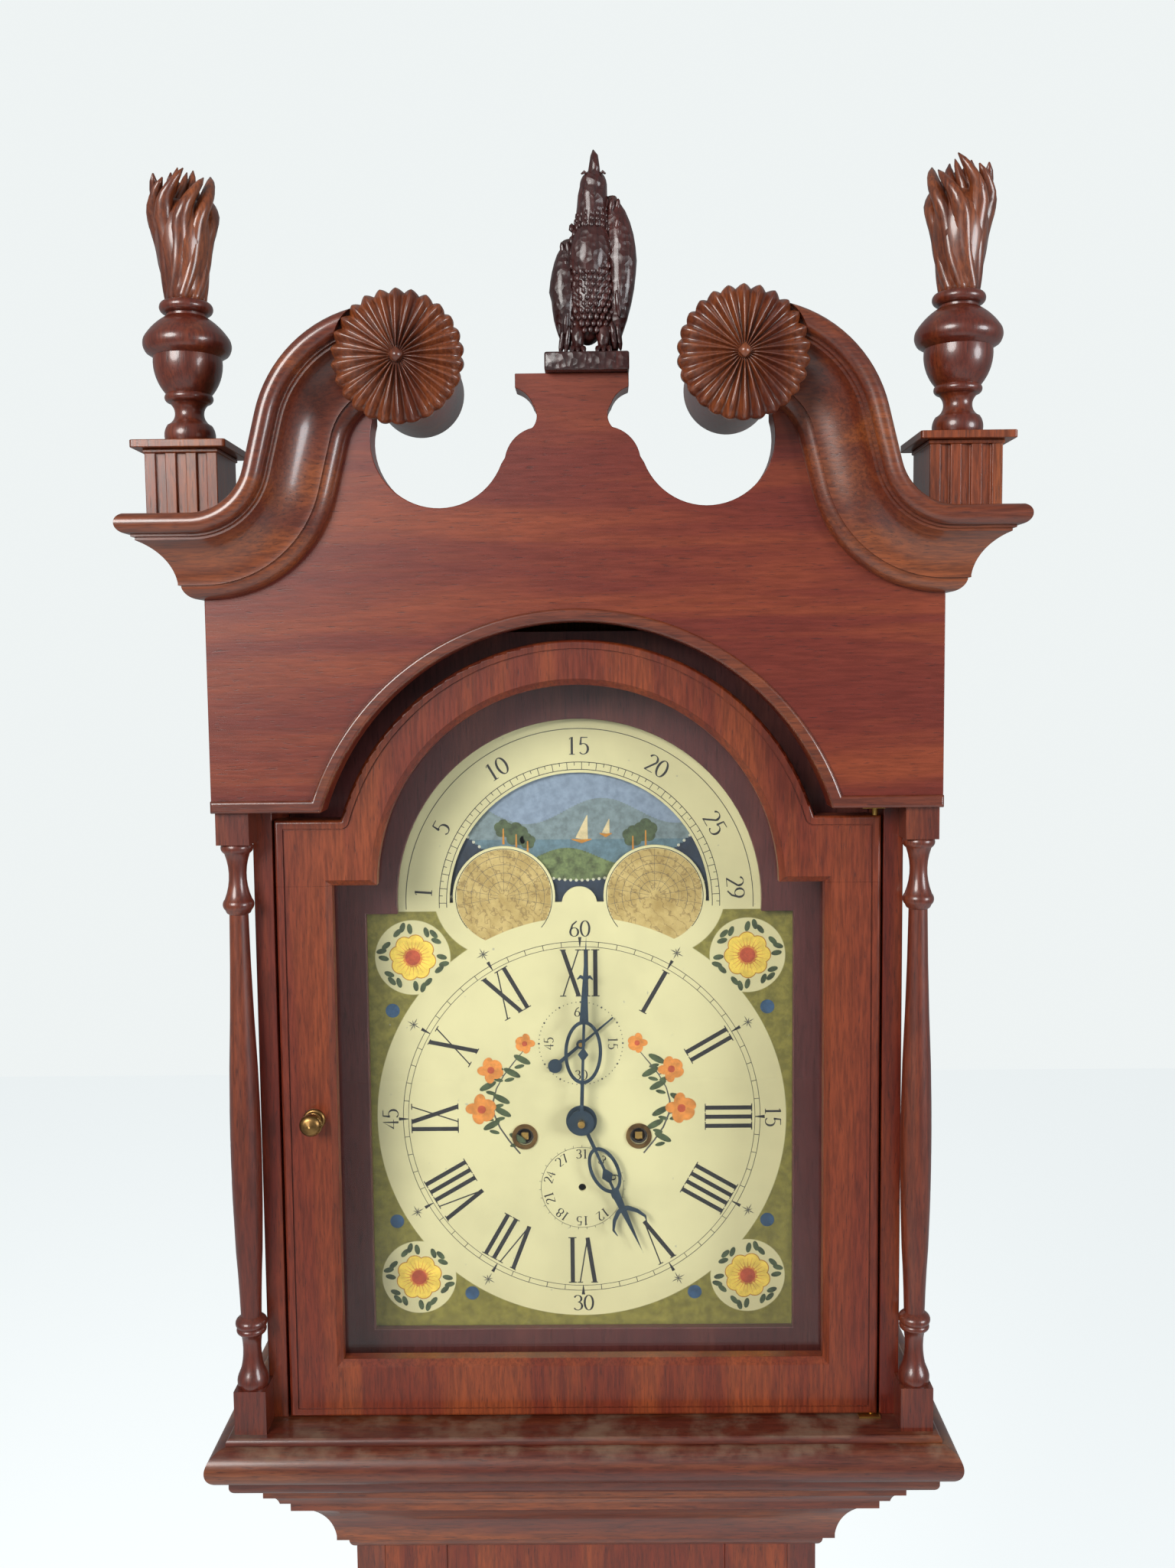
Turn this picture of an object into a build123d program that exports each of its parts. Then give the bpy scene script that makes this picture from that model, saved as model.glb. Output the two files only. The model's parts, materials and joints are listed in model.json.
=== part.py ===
"""Longcase clock with a swan-neck hood, painted moon dial and eight-day weight movement.

Millimetres. +Z is up, the front faces -Y, and the origin is on the floor under the middle.
"""

import os
from math import cos, pi, radians, sin, sqrt

from build123d import *

os.makedirs("parts", exist_ok=True)

# The dial's visible lower edge and painted face set every height and depth in the hood.
DIAL_Z = 1600.0
DIAL_Y = -15.5
BACK_Y = DIAL_Y + 162.0  # back of the backboard, against the wall
BOARD = 12.0  # backboard thickness
JOINT_GAP = 0.3  # between pieces that slide or swing past each other
SEAM = 0.1  # glue line between two boards of one sub-part

# Feet and base
FOOT_HIGH = 118.0
FOOT_LONG = 112.0
FOOT_THICK = 20.0
BASE_HALF = 227.0
BASE_OUT = 62.0  # how far the base stands in front of the waist
BASE_LOW = 146.0
BASE_HIGH = 560.0
BASE_WALL = 18.0
PLINTH_MOULD_OUT = 16.0
BOTTOM_THICK = 18.0
BASE_CAP_HIGH = 52.0  # cove between base and waist

# Waist
WAIST_HALF = 165.0
WAIST_Y = DIAL_Y - 15.0
WAIST_WALL = 15.0
WAIST_FRONT_THICK = 18.0
CORNER = 20.0  # corner post that holds the quarter column
CORNER_BLOCK = 58.0
WAIST_LOW = BASE_HIGH + BASE_CAP_HIGH
STILE_IN = 100.0
DOOR_LOW = WAIST_LOW + 52.0
DOOR_SHOULDER = 1268.0
DOOR_ARCH_R = 74.0
DOOR_LIP = 7.0
DOOR_GAP = 1.5
KEY_Z = 1010.0
KNUCKLE_R = 3.4
HINGE_PIN_R = 1.2
HINGE_HIGH = 56.0
LEAF = 1.0
HINGE_INSET = 70.0
THROAT_LOW = DIAL_Z - 159.0
WAIST_TOP = DIAL_Z - 78.3  # top of the throat moulding, where the hood slides
CHEEK_TOP = DIAL_Z + 45.0  # cheeks that carry the seatboard
CHEEK_Y = DIAL_Y + 8.0

# Hole in the backboard for a wall screw
HOOK_Z = DIAL_Z + 430.0
HOOK_R = 4.0

# Hood body
HOOD_BOTTOM = DIAL_Z - 78.0
HOOD_FLOOR = DIAL_Z - 37.5
SOFFIT_Z = DIAL_Z + 379.0
HOOD_SIDE_OUT = 214.0
HOOD_SIDE_THICK = 13.0
HOOD_SIDE_FRONT = DIAL_Y - 59.0
TYMP_HALF = 234.0
TYMP_Y = DIAL_Y - 83.0
TYMP_THICK = 20.0
FRIEZE_THICK = 12.0
ROOF_TOP = DIAL_Z + 565.0
ARCH_Z = DIAL_Z + 328.0
ARCH_OPEN_R = 171.0
STRIP_WIDE = 8.0  # moulded strip round the arch
STRIP_PROUD = 3.5

# Swan neck
CORNICE_LOW = DIAL_Z + 515.0
CORNICE_HIGH = 50.0
CORNICE_OUT = 40.5
NECK_R1 = 84.0  # lower edge of the rising sweep
NECK_TURN = 76.0  # degrees
NECK_RUN = 34.0
NECK_R2 = 33.0
NECK_END_TURN = 61.0
ROSETTE_X = TYMP_HALF - 131.0
ROSETTE_Z = DIAL_Z + 655.0
ROSETTE_R = 40.0
ROSETTE_THICK = 14.0
ROSETTE_Y = DIAL_Y - 131.0
PETALS = 28
BARREL_R = 29.0
BARREL_BACK = DIAL_Y - 11.0
SCROLL_X = ROSETTE_X - 19.5
SCROLL_Z = DIAL_Z + 613.5
SCROLL_R = 43.0
PLATFORM_Z = DIAL_Z + 652.8
PLATFORM_HALF = 35.5

# Corner plinths and finials
PLINTH_X = TYMP_HALF + 12.0
PLINTH_WIDE = 45.6
PLINTH_TOP = DIAL_Z + 606.7
PLINTH_NECK = 2.5
CAP_WIDE = 60.0
CAP_THICK = 4.8
FLUTE_WIDE = 6.2
FLUTE_DEEP = 2.2
FINIAL_Z = PLINTH_TOP + PLINTH_NECK + CAP_THICK
FLAME_Z = DIAL_Z + 704.0
FLAME_TOP = DIAL_Z + 786.0

# Eagle
EAGLE_X = 9.0
EAGLE_Y = DIAL_Y - 71.0
EAGLE_BLOCK_HIGH = 11.5

# Hood columns
COLUMN_X = 221.6
COLUMN_Y = DIAL_Y - 69.9
COLUMN_BLOCK = 21.4
COLUMN_LOW_BLOCK = 29.5
COLUMN_TOP_BLOCK = 21.0

# Hood door
HDOOR_HALF = 199.2
HDOOR_Y = DIAL_Y - 62.0
HDOOR_THICK = 20.0
HDOOR_LOW = DIAL_Z - 36.0
HDOOR_SHOULDER = DIAL_Z + 371.8
HDOOR_ARCH_R = 162.0
SIGHT_HALF = 162.5
SIGHT_LOW = DIAL_Z + 3.0
SIGHT_SHOULDER = DIAL_Z + 328.0
SIGHT_ARCH_R = 132.8
DOOR_ARCH_Z = DIAL_Z + 326.0
GLASS_THICK = 3.0
REBATE = 5.0
REBATE_DEEP = 8.0
SIGHT_OVOLO = 4.0
QUIRK_IN = 5.6
QUIRK_WIDE = 1.0
PIVOT_R = 2.0
PIVOT_INSET = 3.7  # pivot from the door's right edge and front face
PIVOT_LONG = 9.0
PIVOT_PLATE = 1.2
KNOB_X = 177.5
KNOB_Z = DIAL_Z + 171.0
KNOB_R = 7.5
KNOB_OUT = 17.0

# Mask and dial
MASK_Y = DIAL_Y - 9.0
MASK_THICK = 6.0
DIAL_HALF = 152.5
DIAL_LOW = DIAL_Z - 2.5
DIAL_SHOULDER = DIAL_Z + 302.5
DIAL_ARCH_R = 130.5
DIAL_ARCH_Z = DIAL_Z + 306.0
DIAL_THICK = 2.0
SEEN_HALF = 149.0
SEEN_SHOULDER = DIAL_Z + 300.0
SEEN_ARCH_R = 127.0
SEEN_ARCH_Z = DIAL_Z + 308.0
CENTRE_Z = DIAL_Z + 150.9
SECONDS_Z = DIAL_Z + 204.8
DATE_Z = DIAL_Z + 99.9
WIND_X = 40.6
WIND_Z = DIAL_Z + 137.5
WIND_HOLE_R = 6.2
GROMMET_R = 9.1
MOON_R = 91.3
HUMP_X = 53.0
HUMP_Z = DIAL_Z + 310.0
HUMP_R = 36.0
MOON_DISC_R = 97.0
MOON_DISC_THICK = 1.5
MOON_TEETH = 118
MOON_STUD_R = 2.0
MASK_TOP = SEEN_ARCH_Z + SEEN_ARCH_R + 60.0

# Movement
PLATE_HALF = 62.0
PLATE_LOW = DIAL_Z + 65.0
PLATE_HIGH = DIAL_Z + 240.0
PLATE_THICK = 3.0
FRONT_PLATE_Y = DIAL_Y + 26.0
PLATE_SPACE = 63.0
PILLAR_R = 4.0
PILLAR_X = 57.0
PILLAR_INSET = 9.0
SEAT_FRONT = DIAL_Y + 14.0
SEAT_BACK = DIAL_Y + 100.0
BARREL_DRUM_R = 22.0
ARBOR_R = 2.5
GREAT_R = 36.0
GREAT_TEETH = 96
WHEEL_THICK = 2.5
TOOTH_HIGH = 1.6
PINION_GAP = 0.4
FIT = 0.05  # radial running clearance of an arbor in its hole

THIRD_X = 9.2
THIRD_UP = 29.6  # above the centre arbor
PIN_X = -36.0
PIN_UP = 42.5  # above the winding arbors
PIN_WHEEL_R = 15.0
CENTRE_WHEEL_R = 26.0
THIRD_WHEEL_R = 20.0
ESCAPE_R = 18.0
PALLET_UP = 24.0  # above the escape wheel
HOUR_WHEEL_R = 21.0
HOUR_PIPE_R = 4.6
MOTION_R = 13.0
MOTION_X = -2 * MOTION_R - PINION_GAP
STUD_R = 1.5
WIND_SQUARE = 5.0
BEHIND = FRONT_PLATE_Y + PLATE_THICK  # inside face of the front plate
REAR = BEHIND + PLATE_SPACE  # inside face of the back plate

# Hands: length and degrees clockwise from twelve
HAND_THICK = 1.0
HOUR_LONG = 104.0
HOUR_TURN = 156.0
MINUTE_LONG = 133.0
MINUTE_TURN = 2.0
SECONDS_LONG = 30.0
SECONDS_TURN = 50.0

# Bell and hammer
HAMMER_X = -50.0
HAMMER_Z = DIAL_Z + 216.0
BELL_Z = DIAL_Z + 262.0
BELL_R = 40.0
BELL_Y = DIAL_Y + 60.0
STAND_X = 30.0

# Weights and pendulum
PULLEY_R = 22.0
PULLEY_THICK = 7.0
WEIGHT_R = 29.0
WEIGHT_HIGH = 190.0
WEIGHT_Y = DIAL_Y + 56.0
PULLEY_Z = DIAL_Z - 262.0
LINE_R = 0.8
LINE_REACH = BARREL_DRUM_R + LINE_R + FIT  # line centre from the barrel or pulley centre
PENDULUM_Y = DIAL_Y + 117.0
PENDULUM_LONG = 1000.0
ROD_WIDE = 8.0
ROD_THICK = 3.0
BOB_R = 56.0
BOB_THICK = 24.0


def save(piece, name):
    """Labels one finished piece and writes it."""
    piece.part.label = name
    export_step(piece.part, f"parts/{name}.step")


def block(low, high):
    """One rectangular solid between two opposite corners, added to the open part."""
    size = [high[i] - low[i] for i in range(3)]
    middle = [(high[i] + low[i]) / 2 for i in range(3)]
    with Locations(tuple(middle)):
        Box(*size)


def mirrored_blocks(low, high):
    """The same board on the right and on the left."""
    block(low, high)
    block((-high[0], low[1], low[2]), (-low[0], high[1], high[2]))


def trace(steps):
    """Lines and three-point arcs: (u, v) is a line's end, ((u, v), (u, v)) an arc's middle and end."""
    here = steps[0]
    for step in steps[1:]:
        if isinstance(step[0], tuple):
            ThreePointArc(here, step[0], step[1])
            here = step[1]
        else:
            Line(here, step)
            here = step


def outline(plane, steps):
    """A closed sketch of lines and arcs on a plane."""
    with BuildSketch(plane) as sketch:
        with BuildLine():
            trace([*steps, steps[0]])
        make_face()
    return sketch.sketch


def shifted(steps, du, dv, su=1.0):
    """Moves an outline's points, su = -1 turning them left to right first."""
    def move(p):
        return (su * p[0] + du, p[1] + dv)
    return [tuple(move(q) for q in p) if isinstance(p[0], tuple) else move(p) for p in steps]


def facing(y):
    """A plane that looks at the front: local x is +X, local y is +Z, and it extrudes towards the back."""
    return Plane(origin=(0, y, 0), x_dir=(1, 0, 0), z_dir=(0, -1, 0))


def moulded_frame(profile, half, front, back, inner, name):
    """Front run and two side returns of a moulding, mitred at the corners.

    profile holds (out from the corner, height) steps; inner is its least out value.
    """
    out = max(max(q[0] for q in p) if isinstance(p[0], tuple) else p[0] for p in profile)
    heights = [q[1] for p in profile for q in (p if isinstance(p[0], tuple) else (p,))]
    low, high = min(heights) - 1, max(heights) + 1
    far, near = half + out, half + inner
    with BuildPart() as run:
        extrude(outline(Plane.YZ, shifted(profile, front, 0, -1)), amount=far + 1, both=True)
        with BuildSketch(Plane.XY.offset(low)):
            Polygon((-far, front - out), (far, front - out), (near, front - inner),
                    (-near, front - inner), align=None)
        extrude(amount=high - low, mode=Mode.INTERSECT)
    with BuildPart() as side:
        shape = outline(facing(front - out - 1), shifted(profile, half, 0))
        extrude(shape, amount=-(back - front + out + 1))
        with BuildSketch(Plane.XY.offset(low)):
            Polygon((far, front - out + SEAM), (far, back), (near, back), (near, front - inner + SEAM),
                    align=None)
        extrude(amount=high - low, mode=Mode.INTERSECT)
    with BuildPart() as both:
        add(run.part)
        add(side.part)
        add(side.part.mirror(Plane.YZ))
    save(both, name)


# Feet and base

def feet():
    """Four bracket feet, each of two mitred boards with a scrolled inner edge."""
    half = BASE_HALF + PLINTH_MOULD_OUT - 4
    front = WAIST_Y - BASE_OUT - PLINTH_MOULD_OUT + 4
    spur = 0.36 * FOOT_HIGH
    with BuildPart() as all_feet:
        for side in (1, -1):
            bracket = [(side * half, 0), (side * (half - 0.42 * FOOT_LONG), 0),
                       ((side * (half - 0.60 * FOOT_LONG), spur),
                        (side * (half - 0.52 * FOOT_LONG), 1.5 * spur)),
                       ((side * (half - 0.80 * FOOT_LONG), 1.9 * spur),
                        (side * (half - FOOT_LONG), FOOT_HIGH)),
                       (side * half, FOOT_HIGH)]
            extrude(outline(facing(front), bracket), amount=-FOOT_THICK)
            extrude(outline(facing(BACK_Y - FOOT_THICK), bracket), amount=-FOOT_THICK)
        for x in (-half, half - FOOT_THICK):
            for y, turn in ((front, 1), (BACK_Y, -1)):
                bracket = [(y, 0), (y + turn * 0.42 * FOOT_LONG, 0),
                           ((y + turn * 0.60 * FOOT_LONG, spur), (y + turn * 0.52 * FOOT_LONG, 1.5 * spur)),
                           ((y + turn * 0.80 * FOOT_LONG, 1.9 * spur), (y + turn * FOOT_LONG, FOOT_HIGH)),
                           (y, FOOT_HIGH)]
                extrude(outline(Plane.YZ.offset(x), bracket), amount=FOOT_THICK)
    save(all_feet, "bracket_feet")


def base():
    """Base box: front panel, two sides, bottom board and its mouldings."""
    front = WAIST_Y - BASE_OUT
    moulding = [(-BASE_WALL, FOOT_HIGH), (PLINTH_MOULD_OUT, FOOT_HIGH), (PLINTH_MOULD_OUT, FOOT_HIGH + 14),
                ((0.35 * PLINTH_MOULD_OUT, BASE_LOW - 8), (2, BASE_LOW)), (-BASE_WALL, BASE_LOW)]
    moulded_frame(moulding, BASE_HALF, front, BACK_Y, -BASE_WALL, "base_lower_moulding")
    inside = BASE_HALF - BASE_WALL
    with BuildPart() as boards:
        block((-BASE_HALF, front, BASE_LOW), (BASE_HALF, front + BASE_WALL, BASE_HIGH))
        mirrored_blocks((inside, front + BASE_WALL + SEAM, BASE_LOW), (BASE_HALF, BACK_Y, BASE_HIGH))
        block((-inside, front + BASE_WALL, FOOT_HIGH), (inside, BACK_Y - BOARD, FOOT_HIGH + BOTTOM_THICK))
    save(boards, "base_boards")
    reach = BASE_OUT + 6
    cove = [(0, BASE_HIGH), (reach, BASE_HIGH), ((reach + 4, BASE_HIGH + 5), (reach, BASE_HIGH + 10)),
            (reach - 8, BASE_HIGH + 10), (reach - 8, BASE_HIGH + 14),
            ((0.34 * reach, BASE_HIGH + 20), (9, BASE_HIGH + 40)), (9, BASE_HIGH + 44),
            ((6, BASE_HIGH + 49), (0, WAIST_LOW))]
    moulded_frame(cove, WAIST_HALF, WAIST_Y, BACK_Y, 0, "base_upper_moulding")


# Waist

def waist():
    """Waist box: stiles, rails, sides with cheeks, quarter columns and the throat moulding."""
    depth = WAIST_Y + WAIST_FRONT_THICK
    edge = WAIST_HALF - CORNER
    low = BASE_HIGH
    seam = STILE_IN - SEAM
    with BuildPart() as frame:
        mirrored_blocks((STILE_IN, WAIST_Y, low), (edge, depth, WAIST_TOP))
        block((-seam, WAIST_Y, low), (seam, depth, DOOR_LOW))
        block((-seam, WAIST_Y, DOOR_SHOULDER), (seam, depth, WAIST_TOP))
        with Locations(Plane(origin=(0, WAIST_Y, DOOR_SHOULDER), z_dir=(0, 1, 0))):
            Cylinder(DOOR_ARCH_R, WAIST_FRONT_THICK, align=(Align.CENTER, Align.CENTER, Align.MIN),
                     mode=Mode.SUBTRACT)
    save(frame, "waist_frame")
    with BuildPart() as sides:
        mirrored_blocks((WAIST_HALF - WAIST_WALL, WAIST_Y + CORNER, low),
                        (WAIST_HALF, BACK_Y - BOARD, WAIST_TOP))
        mirrored_blocks((WAIST_HALF - WAIST_WALL, CHEEK_Y, WAIST_TOP),
                        (WAIST_HALF, BACK_Y - BOARD, CHEEK_TOP))
    save(sides, "waist_sides")
    with BuildPart() as corners:
        for side in (1, -1):
            inner = (side * edge, WAIST_Y + CORNER)
            with BuildSketch(Plane.XY.offset(low)) as post:
                with Locations((inner[0] + side * CORNER / 2, inner[1] - CORNER / 2)):
                    Rectangle(CORNER, CORNER)
            extrude(amount=WAIST_TOP - low)
            with BuildSketch(Plane.XY.offset(WAIST_LOW + CORNER_BLOCK)):
                with Locations((inner[0] + side * CORNER / 2, inner[1] - CORNER / 2)):
                    Rectangle(CORNER, CORNER)
                with Locations(inner):
                    Circle(CORNER - 1, mode=Mode.SUBTRACT)
                for turn in (18, 36, 54, 72):
                    out = (CORNER - 1) * cos(radians(turn))
                    ahead = (CORNER - 1) * sin(radians(turn))
                    with Locations((inner[0] + side * out, inner[1] - ahead)):
                        Circle(1.6)
            extrude(amount=THROAT_LOW - WAIST_LOW - 2 * CORNER_BLOCK, mode=Mode.SUBTRACT)
    save(corners, "quarter_columns")
    with BuildPart() as back:
        ear = HOOD_SIDE_OUT - HOOD_SIDE_THICK - 1
        top = ROOF_TOP - FRIEZE_THICK - JOINT_GAP
        front = BACK_Y - BOARD
        block((-WAIST_HALF, front, FOOT_HIGH), (WAIST_HALF, BACK_Y, top))
        mirrored_blocks((WAIST_HALF + SEAM, front, FOOT_HIGH), (BASE_HALF - BASE_WALL, BACK_Y, BASE_HIGH))
        mirrored_blocks((WAIST_HALF + SEAM, front, HOOD_FLOOR + JOINT_GAP), (ear, BACK_Y, top))
        with Locations(Plane(origin=(0, BACK_Y, HOOK_Z), z_dir=(0, -1, 0))):
            Cylinder(HOOK_R, BOARD, align=(Align.CENTER, Align.CENTER, Align.MIN), mode=Mode.SUBTRACT)
    save(back, "backboard")
    top, step = WAIST_TOP, DIAL_Z
    throat = [(0, THROAT_LOW), ((3.6, step - 155.5), (4.5, step - 150)), (7.5, step - 147.5),
              (12, step - 147),
              (12, step - 143.5), ((17.4, step - 127), (36, step - 108.5)), (38, step - 108.5),
              (38, step - 101), (44, step - 99.5), ((46.5, step - 94), (52, step - 90)), (53, step - 90),
              (53, top),
              (0, top)]
    moulded_frame(throat, WAIST_HALF, WAIST_Y, BACK_Y, 0, "throat_moulding")


def waist_door():
    """Arched waist door: lipped panel, lock with its escutcheon, and two hinges with pins."""
    half = STILE_IN - DOOR_GAP
    low, high = DOOR_LOW + DOOR_GAP, DOOR_SHOULDER - DOOR_GAP
    arch = DOOR_ARCH_R - DOOR_GAP
    inner = [(-half, low), (half, low), (half, high), (arch, high), ((0, high + arch), (-arch, high)),
             (-half, high)]
    grow = DOOR_LIP
    wide = arch + grow
    rise = sqrt(wide**2 - grow**2)
    outer = [(-half - grow, low - grow), (half + grow, low - grow), (half + grow, high + grow),
             (rise, high + grow), ((0, high + wide), (-rise, high + grow)), (-half - grow, high + grow)]
    with BuildPart() as door:
        extrude(outline(facing(WAIST_Y - JOINT_GAP), outer), amount=DOOR_LIP)
        rim = door.edges().group_by(Axis.Y)[0]
        chamfer(rim, 4.0, 3.0)
        extrude(outline(facing(WAIST_Y - JOINT_GAP), inner), amount=-(WAIST_FRONT_THICK - 2))
    save(door, "waist_door_panel")
    face = WAIST_Y - JOINT_GAP - DOOR_LIP
    with BuildPart() as lock:
        with BuildSketch(facing(face)):
            with Locations((-half + 16, KEY_Z)):
                Ellipse(8, 14)
                Circle(2.2, mode=Mode.SUBTRACT)
        extrude(amount=1.2)
        block((-half + 2, WAIST_Y + WAIST_FRONT_THICK - 2 - JOINT_GAP, KEY_Z - 28),
              (-half + 40, WAIST_Y + WAIST_FRONT_THICK + 10, KEY_Z + 28))
    save(lock, "lock_and_escutcheon")
    x, y = half + grow + KNUCKLE_R + JOINT_GAP, WAIST_Y - KNUCKLE_R - LEAF - 0.2
    third = HINGE_HIGH / 3
    places = (low + HINGE_INSET, high - HINGE_INSET - HINGE_HIGH)
    with BuildPart() as leaves:
        for z in places:
            block((x + KNUCKLE_R + JOINT_GAP, WAIST_Y - LEAF - 0.5, z), (x + 20, WAIST_Y, z + HINGE_HIGH))
            for lift in (0, 2 * third):
                with Locations((x, y, z + lift)):
                    Cylinder(KNUCKLE_R, third - 0.15, align=(Align.CENTER, Align.CENTER, Align.MIN))
                block((x, WAIST_Y - LEAF - 0.5, z + lift), (x + KNUCKLE_R + 1, WAIST_Y,
                                                            z + lift + third - 0.15))
            with Locations((x, y, z)):
                Cylinder(HINGE_PIN_R, HINGE_HIGH - 0.15, align=(Align.CENTER, Align.CENTER, Align.MIN))
    save(leaves, "waist_hinge_frame_leaves")
    with BuildPart() as moving:
        for z in places:
            block((x - 20, face - LEAF, z + third), (x, face, z + 2 * third - 0.3))
            with Locations((x, y, z + third)):
                Cylinder(KNUCKLE_R, third - 0.3, align=(Align.CENTER, Align.CENTER, Align.MIN))
            with Locations((x, y, z + third)):
                Cylinder(HINGE_PIN_R + FIT, third - 0.3, align=(Align.CENTER, Align.CENTER, Align.MIN),
                         mode=Mode.SUBTRACT)
    save(moving, "waist_hinge_door_leaves")


# Hood

def hood_case():
    """Hood base frame, sides, soffits, frieze boards and roof."""
    top, low = HOOD_FLOOR, HOOD_BOTTOM
    z = DIAL_Z
    profile = [(2, top), (70, top), ((71.5, z - 39), (72, z - 42)), (70.5, z - 42.3),
               ((83.6, z - 54), (75, z - 66.3)), (71, z - 66.6), (71, z - 72),
               ((69, z - 76), (64.5, low)), (2, low)]
    moulded_frame(profile, WAIST_HALF, WAIST_Y, BACK_Y, 2, "hood_base_moulding")
    inside = HOOD_SIDE_OUT - HOOD_SIDE_THICK
    with BuildPart() as sides:
        mirrored_blocks((inside, HOOD_SIDE_FRONT, HOOD_FLOOR), (HOOD_SIDE_OUT, BACK_Y, SOFFIT_Z))
    save(sides, "hood_sides")
    behind = TYMP_Y + TYMP_THICK
    with BuildPart() as boards:
        mirrored_blocks((inside, behind, SOFFIT_Z), (TYMP_HALF, BACK_Y, SOFFIT_Z + FRIEZE_THICK))
        mirrored_blocks((TYMP_HALF - FRIEZE_THICK, behind, SOFFIT_Z + FRIEZE_THICK + SEAM),
                        (TYMP_HALF, BACK_Y, ROOF_TOP - FRIEZE_THICK - SEAM))
        block((-TYMP_HALF, behind, ROOF_TOP - FRIEZE_THICK), (TYMP_HALF, BACK_Y, ROOF_TOP))
    save(boards, "hood_top_boards")


def neck_route():
    """Centre points of the swan neck's lower edge, left side, as (start, arc1, line, arc2) places."""
    start = (-TYMP_HALF - CORNICE_OUT - 1, CORNICE_LOW)
    p1 = (-TYMP_HALF + 3, CORNICE_LOW)
    c1 = (p1[0], p1[1] + NECK_R1)
    turn = radians(NECK_TURN)

    def on1(a):
        return (c1[0] + NECK_R1 * sin(a), c1[1] - NECK_R1 * cos(a))
    p2 = on1(turn)
    p3 = (p2[0] + NECK_RUN * cos(turn), p2[1] + NECK_RUN * sin(turn))
    c2 = (p3[0] + NECK_R2 * sin(turn), p3[1] - NECK_R2 * cos(turn))

    def on2(a):
        return (c2[0] - NECK_R2 * sin(a), c2[1] + NECK_R2 * cos(a))
    end = radians(NECK_TURN - NECK_END_TURN)
    return start, p1, on1(turn / 2), p2, p3, on2((turn + end) / 2), on2(end)


def cornice_section(base_u, base_v, su=1.0):
    """Swan-neck section: u goes out from the board, v up across the face."""
    s = [(0, 0), (3.5, 0), ((9, 3.2), (11, 7)), (11, 8.2), (12.6, 8.2), (12.6, 9.8),
         ((18, 23.5), (32, 34.5)), (32, 36), (34, 36.5), (34, 38.2),
         ((41.5, 43.2), (CORNICE_OUT - 3, CORNICE_HIGH)),
         (0, CORNICE_HIGH)]
    return shifted(s, base_u, base_v, su)


def tympanum_outline():
    """Front board: frieze, swan-neck backing, scroll cuts and central pedestal."""
    p1 = neck_route()[1]
    spring = sqrt(ARCH_OPEN_R**2 - (SOFFIT_Z - ARCH_Z)**2)
    a = radians(NECK_TURN)
    c1 = (p1[0], p1[1] + NECK_R1)
    r_top = c1[1] - ROOF_TOP
    foot = PLINTH_WIDE / 2 - PLINTH_X + SEAM
    q1 = (foot, c1[1] - sqrt(r_top**2 - (foot - c1[0])**2))
    q2 = (c1[0] + r_top * sin(a), c1[1] - r_top * cos(a))
    qm = (c1[0] + r_top * sin(a / 2), c1[1] - r_top * cos(a / 2))
    q3 = (-ROSETTE_X - BARREL_R * 1.25, ROSETTE_Z - 3)
    horn = (-SCROLL_X - sqrt(SCROLL_R**2 - 11.5**2), SCROLL_Z + 11.5)
    cusp = (-44.8, DIAL_Z + 597.5)
    bottom = (-SCROLL_X, SCROLL_Z - SCROLL_R)
    z = DIAL_Z
    left = [(-TYMP_HALF, SOFFIT_Z), (-TYMP_HALF, ROOF_TOP), (foot, ROOF_TOP), q1, (qm, q2), q3,
            (-ROSETTE_X - 22, ROSETTE_Z - 19), horn, (bottom, cusp), (-42.4, z + 601.3),
            ((-36, z + 613.5), (-25, z + 619.5)), ((-22.2, z + 626), (-24.5, z + 633.5)),
            ((-28.5, z + 640), (-33, z + 643)), (-PLATFORM_HALF, z + 644), (-PLATFORM_HALF, PLATFORM_Z)]
    right = []
    flat = []
    here = left[0]
    for step in left[1:]:
        middle = step[0] if isinstance(step[0], tuple) else None
        end = step[1] if middle else step
        flat.append((here, middle, end))
        here = end
    for begin, middle, end in reversed(flat):
        point = (-begin[0], begin[1])
        right.append(((-middle[0], middle[1]), point) if middle else point)
    return [*left, (PLATFORM_HALF, PLATFORM_Z), *right, (spring, SOFFIT_Z),
            ((0, ARCH_Z + ARCH_OPEN_R), (-spring, SOFFIT_Z))]


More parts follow.
